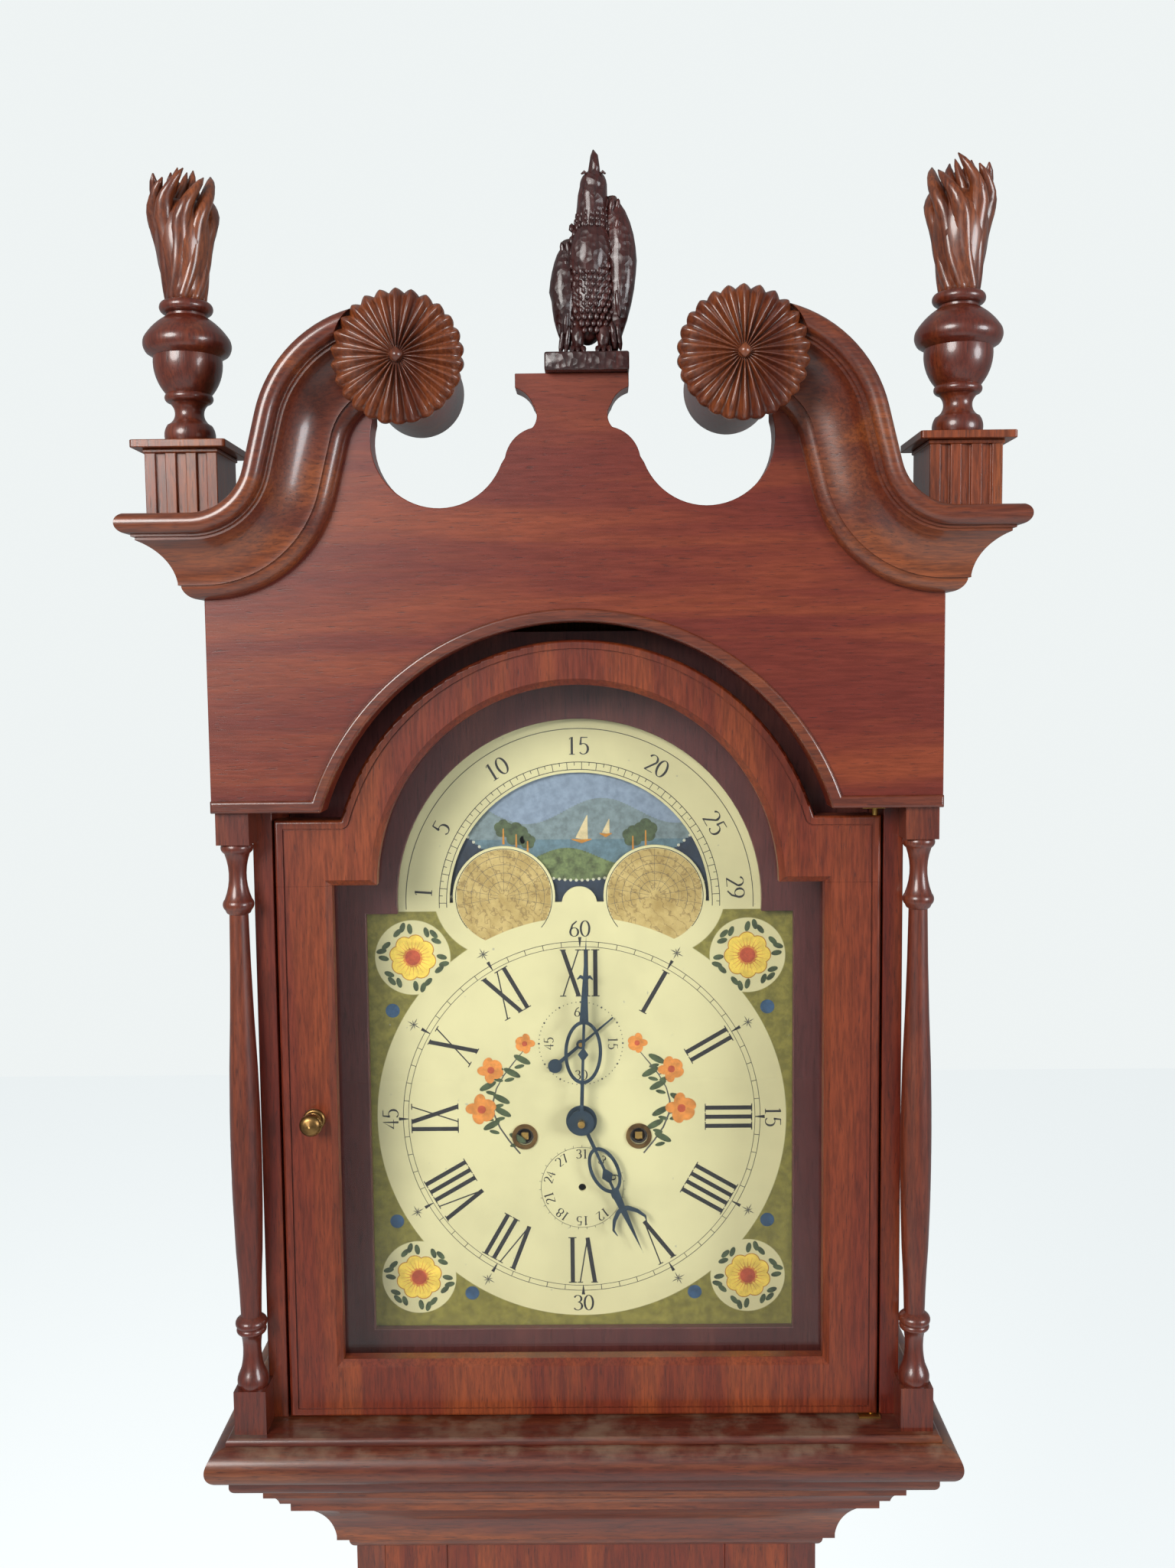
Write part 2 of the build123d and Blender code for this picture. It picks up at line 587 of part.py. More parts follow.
def pediment():
    """Tympanum, arch strip, the two swan necks, cornice returns, barrels and rosettes."""
    barrels = [Plane(origin=(side * ROSETTE_X, ROSETTE_Y + ROSETTE_THICK, ROSETTE_Z), z_dir=(0, 1, 0))
               for side in (-1, 1)]
    with BuildPart() as board:
        extrude(outline(facing(TYMP_Y), tympanum_outline()), amount=-TYMP_THICK)
        for place in barrels:
            with Locations(place):
                Cylinder(BARREL_R, 200, align=(Align.CENTER, Align.CENTER, Align.MIN), mode=Mode.SUBTRACT)
    save(board, "tympanum")
    spring = sqrt(ARCH_OPEN_R**2 - (SOFFIT_Z - ARCH_Z)**2)
    wide_r = ARCH_OPEN_R + STRIP_WIDE
    wide_spring = sqrt(wide_r**2 - (SOFFIT_Z + STRIP_WIDE - ARCH_Z)**2)
    with BuildPart() as strip:
        shape = outline(facing(TYMP_Y), [
                    (-TYMP_HALF, SOFFIT_Z), (-TYMP_HALF, SOFFIT_Z + STRIP_WIDE),
                    (-wide_spring, SOFFIT_Z + STRIP_WIDE),
                    ((0, ARCH_Z + wide_r), (wide_spring, SOFFIT_Z + STRIP_WIDE)),
                    (TYMP_HALF, SOFFIT_Z + STRIP_WIDE),
                    (TYMP_HALF, SOFFIT_Z), (spring, SOFFIT_Z),
                    ((0, ARCH_Z + ARCH_OPEN_R), (-spring, SOFFIT_Z))])
        extrude(shape, amount=STRIP_PROUD)
        proud = strip.edges().group_by(Axis.Y)[0]
        chamfer(proud, 1.2)
    save(strip, "arch_strip")

    start, p1, m1, p2, p3, m2, p4 = neck_route()
    with BuildPart() as neck:
        with BuildLine(facing(TYMP_Y)) as route:
            trace([start, p1, (m1, p2), p3, (m2, p4)])
        shape = outline(Plane(origin=(start[0], TYMP_Y, start[1]), x_dir=(0, -1, 0), z_dir=(-1, 0, 0)),
                        cornice_section(0, 0))
        sweep(shape, path=route.wires()[0])
        far = TYMP_HALF + CORNICE_OUT + 5
        with BuildSketch(Plane.XY.offset(CORNICE_LOW - 5)):
            Polygon((-far, TYMP_Y - far + TYMP_HALF), (-TYMP_HALF, TYMP_Y), (0, TYMP_Y),
                    (0, TYMP_Y - far + TYMP_HALF), align=None)
        extrude(amount=300, mode=Mode.INTERSECT)
        with Locations(barrels[0]):
            Cylinder(BARREL_R, 200, align=(Align.CENTER, Align.CENTER, Align.MIN), mode=Mode.SUBTRACT)
        with Locations(Plane(origin=(-ROSETTE_X, ROSETTE_Y, ROSETTE_Z), z_dir=(0, 1, 0))):
            Cylinder(ROSETTE_R, ROSETTE_THICK, align=(Align.CENTER, Align.CENTER, Align.MIN),
                     mode=Mode.SUBTRACT)
        mirror(about=Plane.YZ)
    save(neck, "swan_necks")
    with BuildPart() as returns:
        shape = outline(facing(TYMP_Y - CORNICE_OUT - 1), cornice_section(TYMP_HALF, CORNICE_LOW))
        extrude(shape, amount=-(BACK_Y - TYMP_Y + CORNICE_OUT + 1))
        far = TYMP_HALF + CORNICE_OUT + 5
        with BuildSketch(Plane.XY.offset(CORNICE_LOW - 5)):
            Polygon((TYMP_HALF, TYMP_Y + SEAM), (far, TYMP_Y + SEAM - far + TYMP_HALF), (far, BACK_Y),
                    (TYMP_HALF, BACK_Y), align=None)
        extrude(amount=100, mode=Mode.INTERSECT)
        mirror(about=Plane.YZ)
    save(returns, "cornice_returns")
    with BuildPart() as rolls:
        for place in barrels:
            with Locations(place):
                Cylinder(BARREL_R, BARREL_BACK - ROSETTE_Y - ROSETTE_THICK,
                         align=(Align.CENTER, Align.CENTER, Align.MIN))
    save(rolls, "rosette_barrels")
    with BuildPart() as flower:
        with BuildSketch(Plane.XZ):
            with BuildLine():
                trace([(0, 0), (ROSETTE_R, 0), (ROSETTE_R, 4), (ROSETTE_R * 0.8, 9), (ROSETTE_R * 0.5, 8),
                       (12, 7.5), (7, 9), (5.5, 12.5), (1.5, ROSETTE_THICK), (0, ROSETTE_THICK), (0, 0)])
            make_face()
        revolve(axis=Axis.Z)
        with BuildSketch(Plane.XY):
            with PolarLocations(ROSETTE_R + 0.6, PETALS):
                Circle(1.5)
        extrude(amount=ROSETTE_THICK, mode=Mode.SUBTRACT)
    with BuildPart() as flowers:
        for place in barrels:
            add(Plane(origin=place.origin, x_dir=(1, 0, 0), z_dir=(0, -1, 0)).location * flower.part)
    save(flowers, "rosettes")


def plinths():
    """Fluted corner plinths with their thin caps."""
    with BuildPart() as blocks:
        for side in (-1, 1):
            with BuildSketch(Plane.XY.offset(ROOF_TOP)):
                with Locations((side * PLINTH_X, TYMP_Y + PLINTH_WIDE / 2)):
                    Rectangle(PLINTH_WIDE, PLINTH_WIDE)
                pitch = (PLINTH_WIDE + FLUTE_WIDE) / 4
                for i in (-1, 0, 1):
                    with Locations((side * PLINTH_X + i * pitch, TYMP_Y)):
                        Rectangle(FLUTE_WIDE, 2 * FLUTE_DEEP, mode=Mode.SUBTRACT)
            extrude(amount=PLINTH_TOP - ROOF_TOP)
            with BuildSketch(Plane.XY.offset(PLINTH_TOP)):
                with Locations((side * PLINTH_X, TYMP_Y + PLINTH_WIDE / 2)):
                    Rectangle(PLINTH_WIDE + 2, PLINTH_WIDE + 2)
            extrude(amount=PLINTH_NECK - SEAM)
            with BuildSketch(Plane.XY.offset(PLINTH_TOP + PLINTH_NECK)):
                with Locations((side * PLINTH_X, TYMP_Y + PLINTH_WIDE / 2)):
                    RectangleRounded(CAP_WIDE, CAP_WIDE, 2)
            extrude(amount=CAP_THICK)
    save(blocks, "corner_plinths")


def finials():
    """Turned urns with twisted flames on the corner plinths."""
    z = DIAL_Z
    with BuildPart() as urn:
        with BuildSketch(Plane.XZ):
            with BuildLine():
                trace([(0, FINIAL_Z), (14, FINIAL_Z), ((16, z + 620), (14, z + 627)),
                       ((9.2, z + 633), (12.4, z + 641)), ((15, z + 643), (14.2, z + 646.5)),
                       ((19.8, z + 656), (21.5, z + 669.5)), (25.5, z + 672),
                       ((27.6, z + 677.5), (26, z + 682.5)),
                       ((20, z + 689.5), (12.5, z + 695)), (12.5, z + 696.5),
                       ((16.6, z + 701.5), (14.5, FLAME_Z)),
                       (0, FLAME_Z), (0, FINIAL_Z)])
            make_face()
        revolve(axis=Axis.Z)
    middle = TYMP_Y + PLINTH_WIDE / 2
    with BuildPart() as urns:
        for side in (-1, 1):
            add(Pos(side * PLINTH_X, middle, 0) * urn.part)
    save(urns, "urns")
    high = FLAME_TOP - FLAME_Z
    sections = ((0, 29, 27, 0, 0), (0.3, 40, 32, 35, 0.5), (0.58, 47, 34, 70, 1), (0.8, 38, 24, 100, 2),
                (1.0, 9, 7, 130, 4))
    with BuildPart() as flames:
        for side in (-1, 1):
            for part, wide, thick, turn, lean in sections:
                with BuildSketch(Plane.XY.offset(FLAME_Z + part * high)):
                    with Locations((side * (PLINTH_X + lean), middle)):
                        Ellipse(wide / 2, thick / 2, rotation=side * turn)
            loft()
    save(flames, "flames")


def eagle():
    """Carved eagle finial on a small block: trunk, head, beak and folded wings."""
    x, y, z = EAGLE_X, EAGLE_Y, PLATFORM_Z
    top = z + EAGLE_BLOCK_HIGH
    with BuildPart() as bird:
        for part, rx, ry, dx, dy in ((SEAM, 14, 12, -1, 2), (18, 15, 14, -1, 1), (45, 19, 17, 0, -1),
                                     (70, 17, 15, 1, -2), (92, 11, 11, 4, -2), (112, 9.5, 11, 6, -3),
                                     (124, 6, 7, 7, -5)):
            with BuildSketch(Plane.XY.offset(top + part)):
                with Locations((x + dx, y + dy)):
                    Ellipse(rx, ry)
        loft()
        with Locations(Location((x + 8, y - 8, top + 117), (58, 0, -12))):
            Cone(5.5, 1.2, 19, align=(Align.CENTER, Align.CENTER, Align.MIN))
    with BuildPart() as wings:
        for dx, dz, tall in ((17, 4, 96), (-17, 10, 70)):
            for part, out, rx, ry in ((0, 0.55, 4, 5), (0.62, 1.1, 8, 13), (1, 0.75, 5, 7)):
                with BuildSketch(Plane.XY.offset(top + dz + part * tall)):
                    with Locations((x + dx * out, y + 4 * (1 - part))):
                        Ellipse(rx, ry)
            loft()
    with BuildPart() as whole:
        add(bird.part)
        add(wings.part)
        with Locations((x, y, z)):
            Box(50, 40, EAGLE_BLOCK_HIGH, align=(Align.CENTER, Align.CENTER, Align.MIN))
    save(whole, "eagle")


def columns():
    """Two turned colonettes at the hood's front corners, with square end blocks."""
    z = DIAL_Z
    turned_low = HOOD_FLOOR + COLUMN_LOW_BLOCK
    turned_high = SOFFIT_Z - COLUMN_TOP_BLOCK
    with BuildPart() as shaft:
        with BuildSketch(Plane.XZ):
            with BuildLine():
                trace([(0, turned_low), (9.8, turned_low), ((10.3, z - 5.5), (9.6, z - 0.4)), (7.4, z + 5),
                       ((6.0, z + 16), (6.7, z + 26.5)), (8.8, z + 28.5),
                       ((9.9, z + 30.5), (9.2, z + 32.5)),
                       ((10.5, z + 35.3), (9, z + 38.6)), (6.8, z + 40.5), ((7.1, z + 52), (8.7, z + 84.5)),
                       ((10.05, z + 145), (9.2, z + 209)), ((7.3, z + 258), (6.1, z + 311.5)),
                       (7.6, z + 312.5),
                       (8.6, z + 314.6), ((10.1, z + 318.3), (8.8, z + 321.5)),
                       ((5.75, z + 340), (8.1, z + 351.5)),
                       (9.2, z + 352.5), ((10.4, z + 355), (9.6, turned_high)), (0, turned_high),
                       (0, turned_low)])
            make_face()
        revolve(axis=Axis.Z)
        half = COLUMN_BLOCK / 2
        block((-half, -half, HOOD_FLOOR), (half, half, turned_low))
        block((-half, -half, turned_high), (half, half, SOFFIT_Z))
    with BuildPart() as pair:
        for side in (-1, 1):
            add(Pos(side * COLUMN_X, COLUMN_Y, 0) * shaft.part)
    save(pair, "hood_columns")


def arched(half, low, shoulder, radius, centre_z):
    """A break-arch outline; the arch springs from level shoulders."""
    spring = sqrt(max(radius**2 - (shoulder - centre_z)**2, 0))
    return [(-half, low), (half, low), (half, shoulder), (spring, shoulder),
            ((0, centre_z + radius), (-spring, shoulder)), (-half, shoulder)]


def inside_sight(box):
    """True for an edge on the rim of the sight opening."""
    reach = SIGHT_HALF + 1
    return (box.min.X > -reach and box.max.X < reach and box.min.Z > SIGHT_LOW - 1
            and box.max.Z < DOOR_ARCH_Z + SIGHT_ARCH_R + 1)


def hood_door():
    """Arched sash: stiles, rail and head, glass, knob and the pivot plates on the hood."""
    outer = arched(HDOOR_HALF, HDOOR_LOW, HDOOR_SHOULDER, HDOOR_ARCH_R, DOOR_ARCH_Z)
    sight = arched(SIGHT_HALF, SIGHT_LOW, SIGHT_SHOULDER, SIGHT_ARCH_R, DOOR_ARCH_Z)
    pane = arched(SIGHT_HALF + REBATE, SIGHT_LOW - REBATE, SIGHT_SHOULDER + REBATE, SIGHT_ARCH_R + REBATE,
                  DOOR_ARCH_Z)
    pivot = (HDOOR_HALF - PIVOT_INSET, HDOOR_Y + PIVOT_INSET)
    with BuildPart() as sash:
        extrude(outline(facing(HDOOR_Y), outer), amount=-HDOOR_THICK)
        fillet(sash.edges().group_by(Axis.Y)[0], 2.4)
        extrude(outline(facing(HDOOR_Y), sight), amount=-HDOOR_THICK, mode=Mode.SUBTRACT)
        rim = [edge for edge in sash.edges().group_by(Axis.Y)[0] if inside_sight(edge.bounding_box())]
        chamfer(rim, SIGHT_OVOLO)
        with BuildSketch(facing(HDOOR_Y)):
            with BuildLine():
                trace([*outer, outer[0]])
            make_face()
            offset(amount=-QUIRK_IN, mode=Mode.REPLACE)
            offset(amount=-QUIRK_WIDE, mode=Mode.SUBTRACT)
        extrude(amount=-QUIRK_WIDE, mode=Mode.SUBTRACT)
        shape = outline(facing(HDOOR_Y + HDOOR_THICK - REBATE_DEEP), pane)
        extrude(shape, amount=-REBATE_DEEP, mode=Mode.SUBTRACT)
        for low in (HDOOR_LOW, HDOOR_SHOULDER - PIVOT_LONG):
            with Locations((*pivot, low)):
                Cylinder(PIVOT_R + FIT, PIVOT_LONG, align=(Align.CENTER, Align.CENTER, Align.MIN),
                         mode=Mode.SUBTRACT)
    head = SIGHT_SHOULDER - SEAM
    back = HDOOR_Y + HDOOR_THICK
    pieces = []
    for low, high in (((-HDOOR_HALF, HDOOR_LOW), (-SIGHT_HALF - SEAM, head)),
                      ((SIGHT_HALF + SEAM, HDOOR_LOW), (HDOOR_HALF, head)),
                      ((-SIGHT_HALF, HDOOR_LOW), (SIGHT_HALF, SIGHT_LOW)),
                      ((-HDOOR_HALF, SIGHT_SHOULDER), (HDOOR_HALF, DOOR_ARCH_Z + HDOOR_ARCH_R))):
        with BuildPart() as member:
            block((low[0], HDOOR_Y, low[1]), (high[0], back, high[1]))
            add(sash.part, mode=Mode.INTERSECT)
        pieces.append(member.part)
    with BuildPart() as frame:
        for piece in pieces:
            add(piece)
    save(frame, "hood_door_frame")
    clear = JOINT_GAP
    glass = arched(SIGHT_HALF + REBATE - clear, SIGHT_LOW - REBATE + clear, SIGHT_SHOULDER + REBATE - clear,
                   SIGHT_ARCH_R + REBATE - clear, DOOR_ARCH_Z)
    with BuildPart() as sheet:
        extrude(outline(facing(back - REBATE_DEEP + SEAM), glass), amount=-GLASS_THICK)
    save(sheet, "hood_door_glass")
    with BuildPart() as knob:
        with BuildSketch(Plane.XZ):
            with BuildLine():
                trace([(0, 0), (KNOB_R, 0), ((KNOB_R, 1), (5, 2)), (2.6, 3), (2.6, 7),
                       ((KNOB_R, 12), (4, KNOB_OUT - 1)), (0, KNOB_OUT), (0, 0)])
            make_face()
        revolve(axis=Axis.Z)
    with BuildPart() as placed:
        add(Plane(origin=(-KNOB_X, HDOOR_Y, KNOB_Z), x_dir=(1, 0, 0),
                  z_dir=(0, -1, 0)).location * knob.part)
    save(placed, "hood_door_knob")
    with BuildPart() as pivots:
        x, y = pivot
        block((x - 9, y - 6, HOOD_FLOOR), (x + 5.5, y + 8, HOOD_FLOOR + PIVOT_PLATE))
        block((x - 9, y - 6, SOFFIT_Z - 2 * PIVOT_PLATE), (x + 5.5, y + 8, SOFFIT_Z))
        with Locations((x, y, HOOD_FLOOR + PIVOT_PLATE)):
            Cylinder(PIVOT_R, PIVOT_LONG - 1, align=(Align.CENTER, Align.CENTER, Align.MIN))
        with Locations((x, y, SOFFIT_Z - 2 * PIVOT_PLATE)):
            Cylinder(PIVOT_R, PIVOT_LONG + 3, align=(Align.CENTER, Align.CENTER, Align.MAX))
    save(pivots, "hood_door_pivots")


def dial_and_mask():
    """Dial mask in the hood, painted dial with its moon opening, grommets and moon disc."""
    inside = HOOD_SIDE_OUT - HOOD_SIDE_THICK - SEAM
    with BuildPart() as mask:
        shape = outline(facing(MASK_Y), [(-inside, HOOD_FLOOR), (inside, HOOD_FLOOR), (inside, MASK_TOP),
                                         (-inside, MASK_TOP)])
        extrude(shape, amount=-MASK_THICK)
        shape = outline(facing(MASK_Y), arched(SEEN_HALF, DIAL_Z, SEEN_SHOULDER, SEEN_ARCH_R, SEEN_ARCH_Z))
        extrude(shape, amount=-MASK_THICK, mode=Mode.SUBTRACT)
    save(mask, "dial_mask")
    with BuildPart() as dial:
        shape = outline(facing(DIAL_Y), arched(DIAL_HALF, DIAL_LOW, DIAL_SHOULDER, DIAL_ARCH_R,
                                               DIAL_ARCH_Z))
        extrude(shape, amount=-DIAL_THICK)
        with BuildSketch(facing(DIAL_Y)):
            with Locations((0, DIAL_ARCH_Z)):
                Circle(MOON_R)
            with Locations((0, DIAL_ARCH_Z)):
                Rectangle(2 * MOON_R, MOON_R, align=(Align.CENTER, Align.MAX), mode=Mode.SUBTRACT)
            with Locations((-HUMP_X, HUMP_Z), (HUMP_X, HUMP_Z)):
                Circle(HUMP_R, mode=Mode.SUBTRACT)
            with Locations((0, DIAL_ARCH_Z - 1.4)):
                Circle(12.4, mode=Mode.SUBTRACT)
        extrude(amount=-DIAL_THICK, mode=Mode.SUBTRACT)
        with BuildSketch(facing(DIAL_Y)):
            with Locations((-WIND_X, WIND_Z), (WIND_X, WIND_Z)):
                Circle(WIND_HOLE_R)
            with Locations((0, CENTRE_Z)):
                Circle(5.5)
            with Locations((0, SECONDS_Z), (0, DATE_Z)):
                Circle(2.7)
        extrude(amount=-DIAL_THICK, mode=Mode.SUBTRACT)
        with Locations(Plane(origin=(0, DIAL_Y + DIAL_THICK, DIAL_ARCH_Z - 2), z_dir=(0, 1, 0))):
            Cylinder(MOON_STUD_R, 6.0, align=(Align.CENTER, Align.CENTER, Align.MIN))
        with Locations(Plane(origin=(0, DIAL_Y + DIAL_THICK + 3.3, DIAL_ARCH_Z - 2), z_dir=(0, 1, 0))):
            Cylinder(2.5 * MOON_STUD_R, 2.7, align=(Align.CENTER, Align.CENTER, Align.MIN))
    save(dial, "dial")
    with BuildPart() as rings:
        with BuildSketch(facing(DIAL_Y)):
            with Locations((-WIND_X, WIND_Z), (WIND_X, WIND_Z)):
                Circle(GROMMET_R)
                Circle(WIND_HOLE_R, mode=Mode.SUBTRACT)
        extrude(amount=1.2)
    save(rings, "winding_grommets")
    with BuildPart() as moon:
        with BuildSketch(facing(DIAL_Y + DIAL_THICK + 1.5)):
            with Locations((0, DIAL_ARCH_Z - 2)):
                Circle(MOON_DISC_R)
                with PolarLocations(MOON_DISC_R, MOON_TEETH):
                    Rectangle(1.8, 2.2, mode=Mode.SUBTRACT)
                Circle(MOON_STUD_R + FIT, mode=Mode.SUBTRACT)
        extrude(amount=-MOON_DISC_THICK)
    save(moon, "moon_disc")


def rod(x, z, radius, y0, y1):
    """A round bar along Y, added to the open part."""
    with Locations(Plane(origin=(x, y0, z), z_dir=(0, 1, 0))):
        Cylinder(radius, y1 - y0, align=(Align.CENTER, Align.CENTER, Align.MIN))


def toothed(x, z, radius, teeth, y, thick, spokes=5, high=TOOTH_HIGH):
    """A crossed-out wheel with straight-sided teeth, added to the open part."""
    with BuildSketch(facing(y)) as wheel:
        with Locations((x, z)):
            Circle(radius - high)
            with PolarLocations(radius - high / 2 - 0.3, teeth):
                Rectangle(high + 0.6, 2 * pi * radius / teeth * 0.45)
            if spokes:
                Circle(radius - high - 3.5, mode=Mode.SUBTRACT)
                Circle(6.0)
                with PolarLocations(radius / 2, spokes):
                    Rectangle(radius - high - 2, 2.4)
    extrude(wheel.sketch, amount=-thick)


def pinion(x, z, radius, leaves, y, thick):
    """A solid small gear, added to the open part."""
    with BuildSketch(facing(y)) as gear:
        with Locations((x, z)):
            Circle(radius - 1.2)
            with PolarLocations(radius - 1.0, leaves):
                Rectangle(2.0, 1.1)
    extrude(gear.sketch, amount=-thick)


def movement_frame():
    """Seatboard, two brass plates with arbor holes, pillars and dial feet."""
    wide = WAIST_HALF
    with BuildPart() as seat:
        block((-wide, SEAT_FRONT, CHEEK_TOP), (wide, SEAT_BACK, PLATE_LOW))
        for side in (-1, 1):
            for x in (WIND_X + LINE_REACH, WIND_X - LINE_REACH):
                with Locations((side * x, WEIGHT_Y, CHEEK_TOP)):
                    Cylinder(5.0, PLATE_LOW - CHEEK_TOP, align=(Align.CENTER, Align.CENTER, Align.MIN),
                             mode=Mode.SUBTRACT)
        for side in (-1, 1):
            with Locations(Plane(origin=(side * (WIND_X - LINE_REACH), WEIGHT_Y - 9, PLATE_LOW + 2.5),
                                 z_dir=(0, 1, 0))):
                Cylinder(2.5, 18, align=(Align.CENTER, Align.CENTER, Align.MIN))
    save(seat, "seatboard")
    holes = [(0, CENTRE_Z), (0, SECONDS_Z), (THIRD_X, CENTRE_Z + THIRD_UP), (WIND_X, WIND_Z),
             (-WIND_X, WIND_Z),
             (0, SECONDS_Z + PALLET_UP), (PIN_X, WIND_Z + PIN_UP), (HAMMER_X, HAMMER_Z)]
    with BuildPart() as frame:
        for y in (FRONT_PLATE_Y, REAR):
            block((-PLATE_HALF, y, PLATE_LOW), (PLATE_HALF, y + PLATE_THICK, PLATE_HIGH))
        with BuildSketch(facing(FRONT_PLATE_Y)):
            with Locations(*holes):
                Circle(ARBOR_R + FIT)
        extrude(amount=-(REAR + PLATE_THICK - FRONT_PLATE_Y), mode=Mode.SUBTRACT)
        for side in (-1, 1):
            for z in (PLATE_LOW + PILLAR_INSET, PLATE_HIGH - 4 * PILLAR_INSET):
                rod(side * PILLAR_X, z, PILLAR_R, BEHIND, REAR)
                rod(side * PILLAR_X, z, PILLAR_R - 1, DIAL_Y + DIAL_THICK, FRONT_PLATE_Y)
        rod(MOTION_X, CENTRE_Z, STUD_R, DIAL_Y + 15, FRONT_PLATE_Y)
        block((-8, REAR + PLATE_THICK, PLATE_HIGH - 4.5), (8, PENDULUM_Y + 5, PLATE_HIGH))
    save(frame, "movement_frame")


def going_train():
    """Centre wheel and hands, motion work, third wheel, escape wheel with the seconds hand,
    great wheels."""
    with BuildPart() as centre:
        rod(0, CENTRE_Z, ARBOR_R, DIAL_Y - 16, REAR + PLATE_THICK)
        toothed(0, CENTRE_Z, CENTRE_WHEEL_R, 60, DIAL_Y + 62, WHEEL_THICK)
        pinion(0, CENTRE_Z, great_gap(), 8, DIAL_Y + 66, 6)
        toothed(0, CENTRE_Z, MOTION_R, 36, DIAL_Y + 22, 1.5, 0)
    save(centre, "centre_wheel")
    with BuildPart() as hour:
        toothed(0, CENTRE_Z, HOUR_WHEEL_R, 72, DIAL_Y + 17.5, 1.5)
        rod(0, CENTRE_Z, HOUR_PIPE_R, DIAL_Y - 7.5, DIAL_Y + 20)
        with Locations(Plane(origin=(0, DIAL_Y - 7.5, CENTRE_Z), z_dir=(0, 1, 0))):
            Cylinder(ARBOR_R + FIT, 27.5, align=(Align.CENTER, Align.CENTER, Align.MIN), mode=Mode.SUBTRACT)
    save(hour, "hour_wheel")
    with BuildPart() as motion:
        toothed(MOTION_X, CENTRE_Z, MOTION_R, 36, DIAL_Y + 22, 1.5, 0)
        rod(MOTION_X, CENTRE_Z, 2 * STUD_R, DIAL_Y + 17, DIAL_Y + 22)
        pinion(MOTION_X, CENTRE_Z, -MOTION_X - HOUR_WHEEL_R - PINION_GAP, 6, DIAL_Y + 17, 3)
        with Locations(Plane(origin=(MOTION_X, DIAL_Y + 16, CENTRE_Z), z_dir=(0, 1, 0))):
            Cylinder(STUD_R + FIT, 8, align=(Align.CENTER, Align.CENTER, Align.MIN), mode=Mode.SUBTRACT)
    save(motion, "motion_wheel")
    x, z = THIRD_X, CENTRE_Z + THIRD_UP
    with BuildPart() as third:
        rod(x, z, ARBOR_R, FRONT_PLATE_Y, REAR + PLATE_THICK)
        toothed(x, z, THIRD_WHEEL_R, 56, DIAL_Y + 45, WHEEL_THICK)
        pinion(x, z, sqrt(x**2 + THIRD_UP**2) - CENTRE_WHEEL_R - PINION_GAP, 8, DIAL_Y + 60, 7)
    save(third, "third_wheel")
    with BuildPart() as escape:
        rod(0, SECONDS_Z, ARBOR_R, FRONT_PLATE_Y - 1, REAR + PLATE_THICK)
        rod(0, SECONDS_Z, STUD_R, DIAL_Y - 4.5, FRONT_PLATE_Y - 1)
        toothed(0, SECONDS_Z, ESCAPE_R, 30, DIAL_Y + 78, 2, 5, 3.0)
        up = SECONDS_Z - CENTRE_Z - THIRD_UP
        pinion(0, SECONDS_Z, sqrt(x**2 + up**2) - THIRD_WHEEL_R - PINION_GAP, 8, DIAL_Y + 43, 7)
    save(escape, "escape_wheel")
    for side, name, y in ((1, "going", DIAL_Y + 68), (-1, "strike", DIAL_Y + 74)):
        with BuildPart() as great:
            toothed(side * WIND_X, WIND_Z, GREAT_R, GREAT_TEETH, y, WHEEL_THICK)
            with Locations(Plane(origin=(side * WIND_X, y - 1, WIND_Z), z_dir=(0, 1, 0))):
                Cylinder(ARBOR_R + FIT, 6, align=(Align.CENTER, Align.CENTER, Align.MIN),
                         mode=Mode.SUBTRACT)
        save(great, f"{name}_great_wheel")
        with BuildPart() as drum:
            rod(side * WIND_X, WIND_Z, ARBOR_R, FRONT_PLATE_Y - 2, REAR + PLATE_THICK)
            rod(side * WIND_X, WIND_Z, BARREL_DRUM_R, DIAL_Y + 35, DIAL_Y + 60)
            for flange in (DIAL_Y + 34, DIAL_Y + 59):
                rod(side * WIND_X, WIND_Z, BARREL_DRUM_R + 2.4, flange, flange + 1.8)
            with BuildSketch(facing(FRONT_PLATE_Y - 2)):
                with Locations((side * WIND_X, WIND_Z)):
                    Rectangle(WIND_SQUARE, WIND_SQUARE)
            extrude(amount=FRONT_PLATE_Y - 2 - (DIAL_Y + 1))
        save(drum, f"{name}_barrel")
    with BuildPart() as pin:
        x, z = PIN_X, WIND_Z + PIN_UP
        rod(x, z, ARBOR_R, FRONT_PLATE_Y, REAR + PLATE_THICK)
        toothed(x, z, PIN_WHEEL_R, 48, DIAL_Y + 50, WHEEL_THICK)
        pinion(x, z, sqrt((x + WIND_X)**2 + PIN_UP**2) - GREAT_R - PINION_GAP, 8, DIAL_Y + 72, 7)
    save(pin, "pin_wheel")


def great_gap():
    """Radius of the centre pinion: it clears the great wheel's teeth."""
    return sqrt(WIND_X**2 + (CENTRE_Z - WIND_Z)**2) - GREAT_R - PINION_GAP


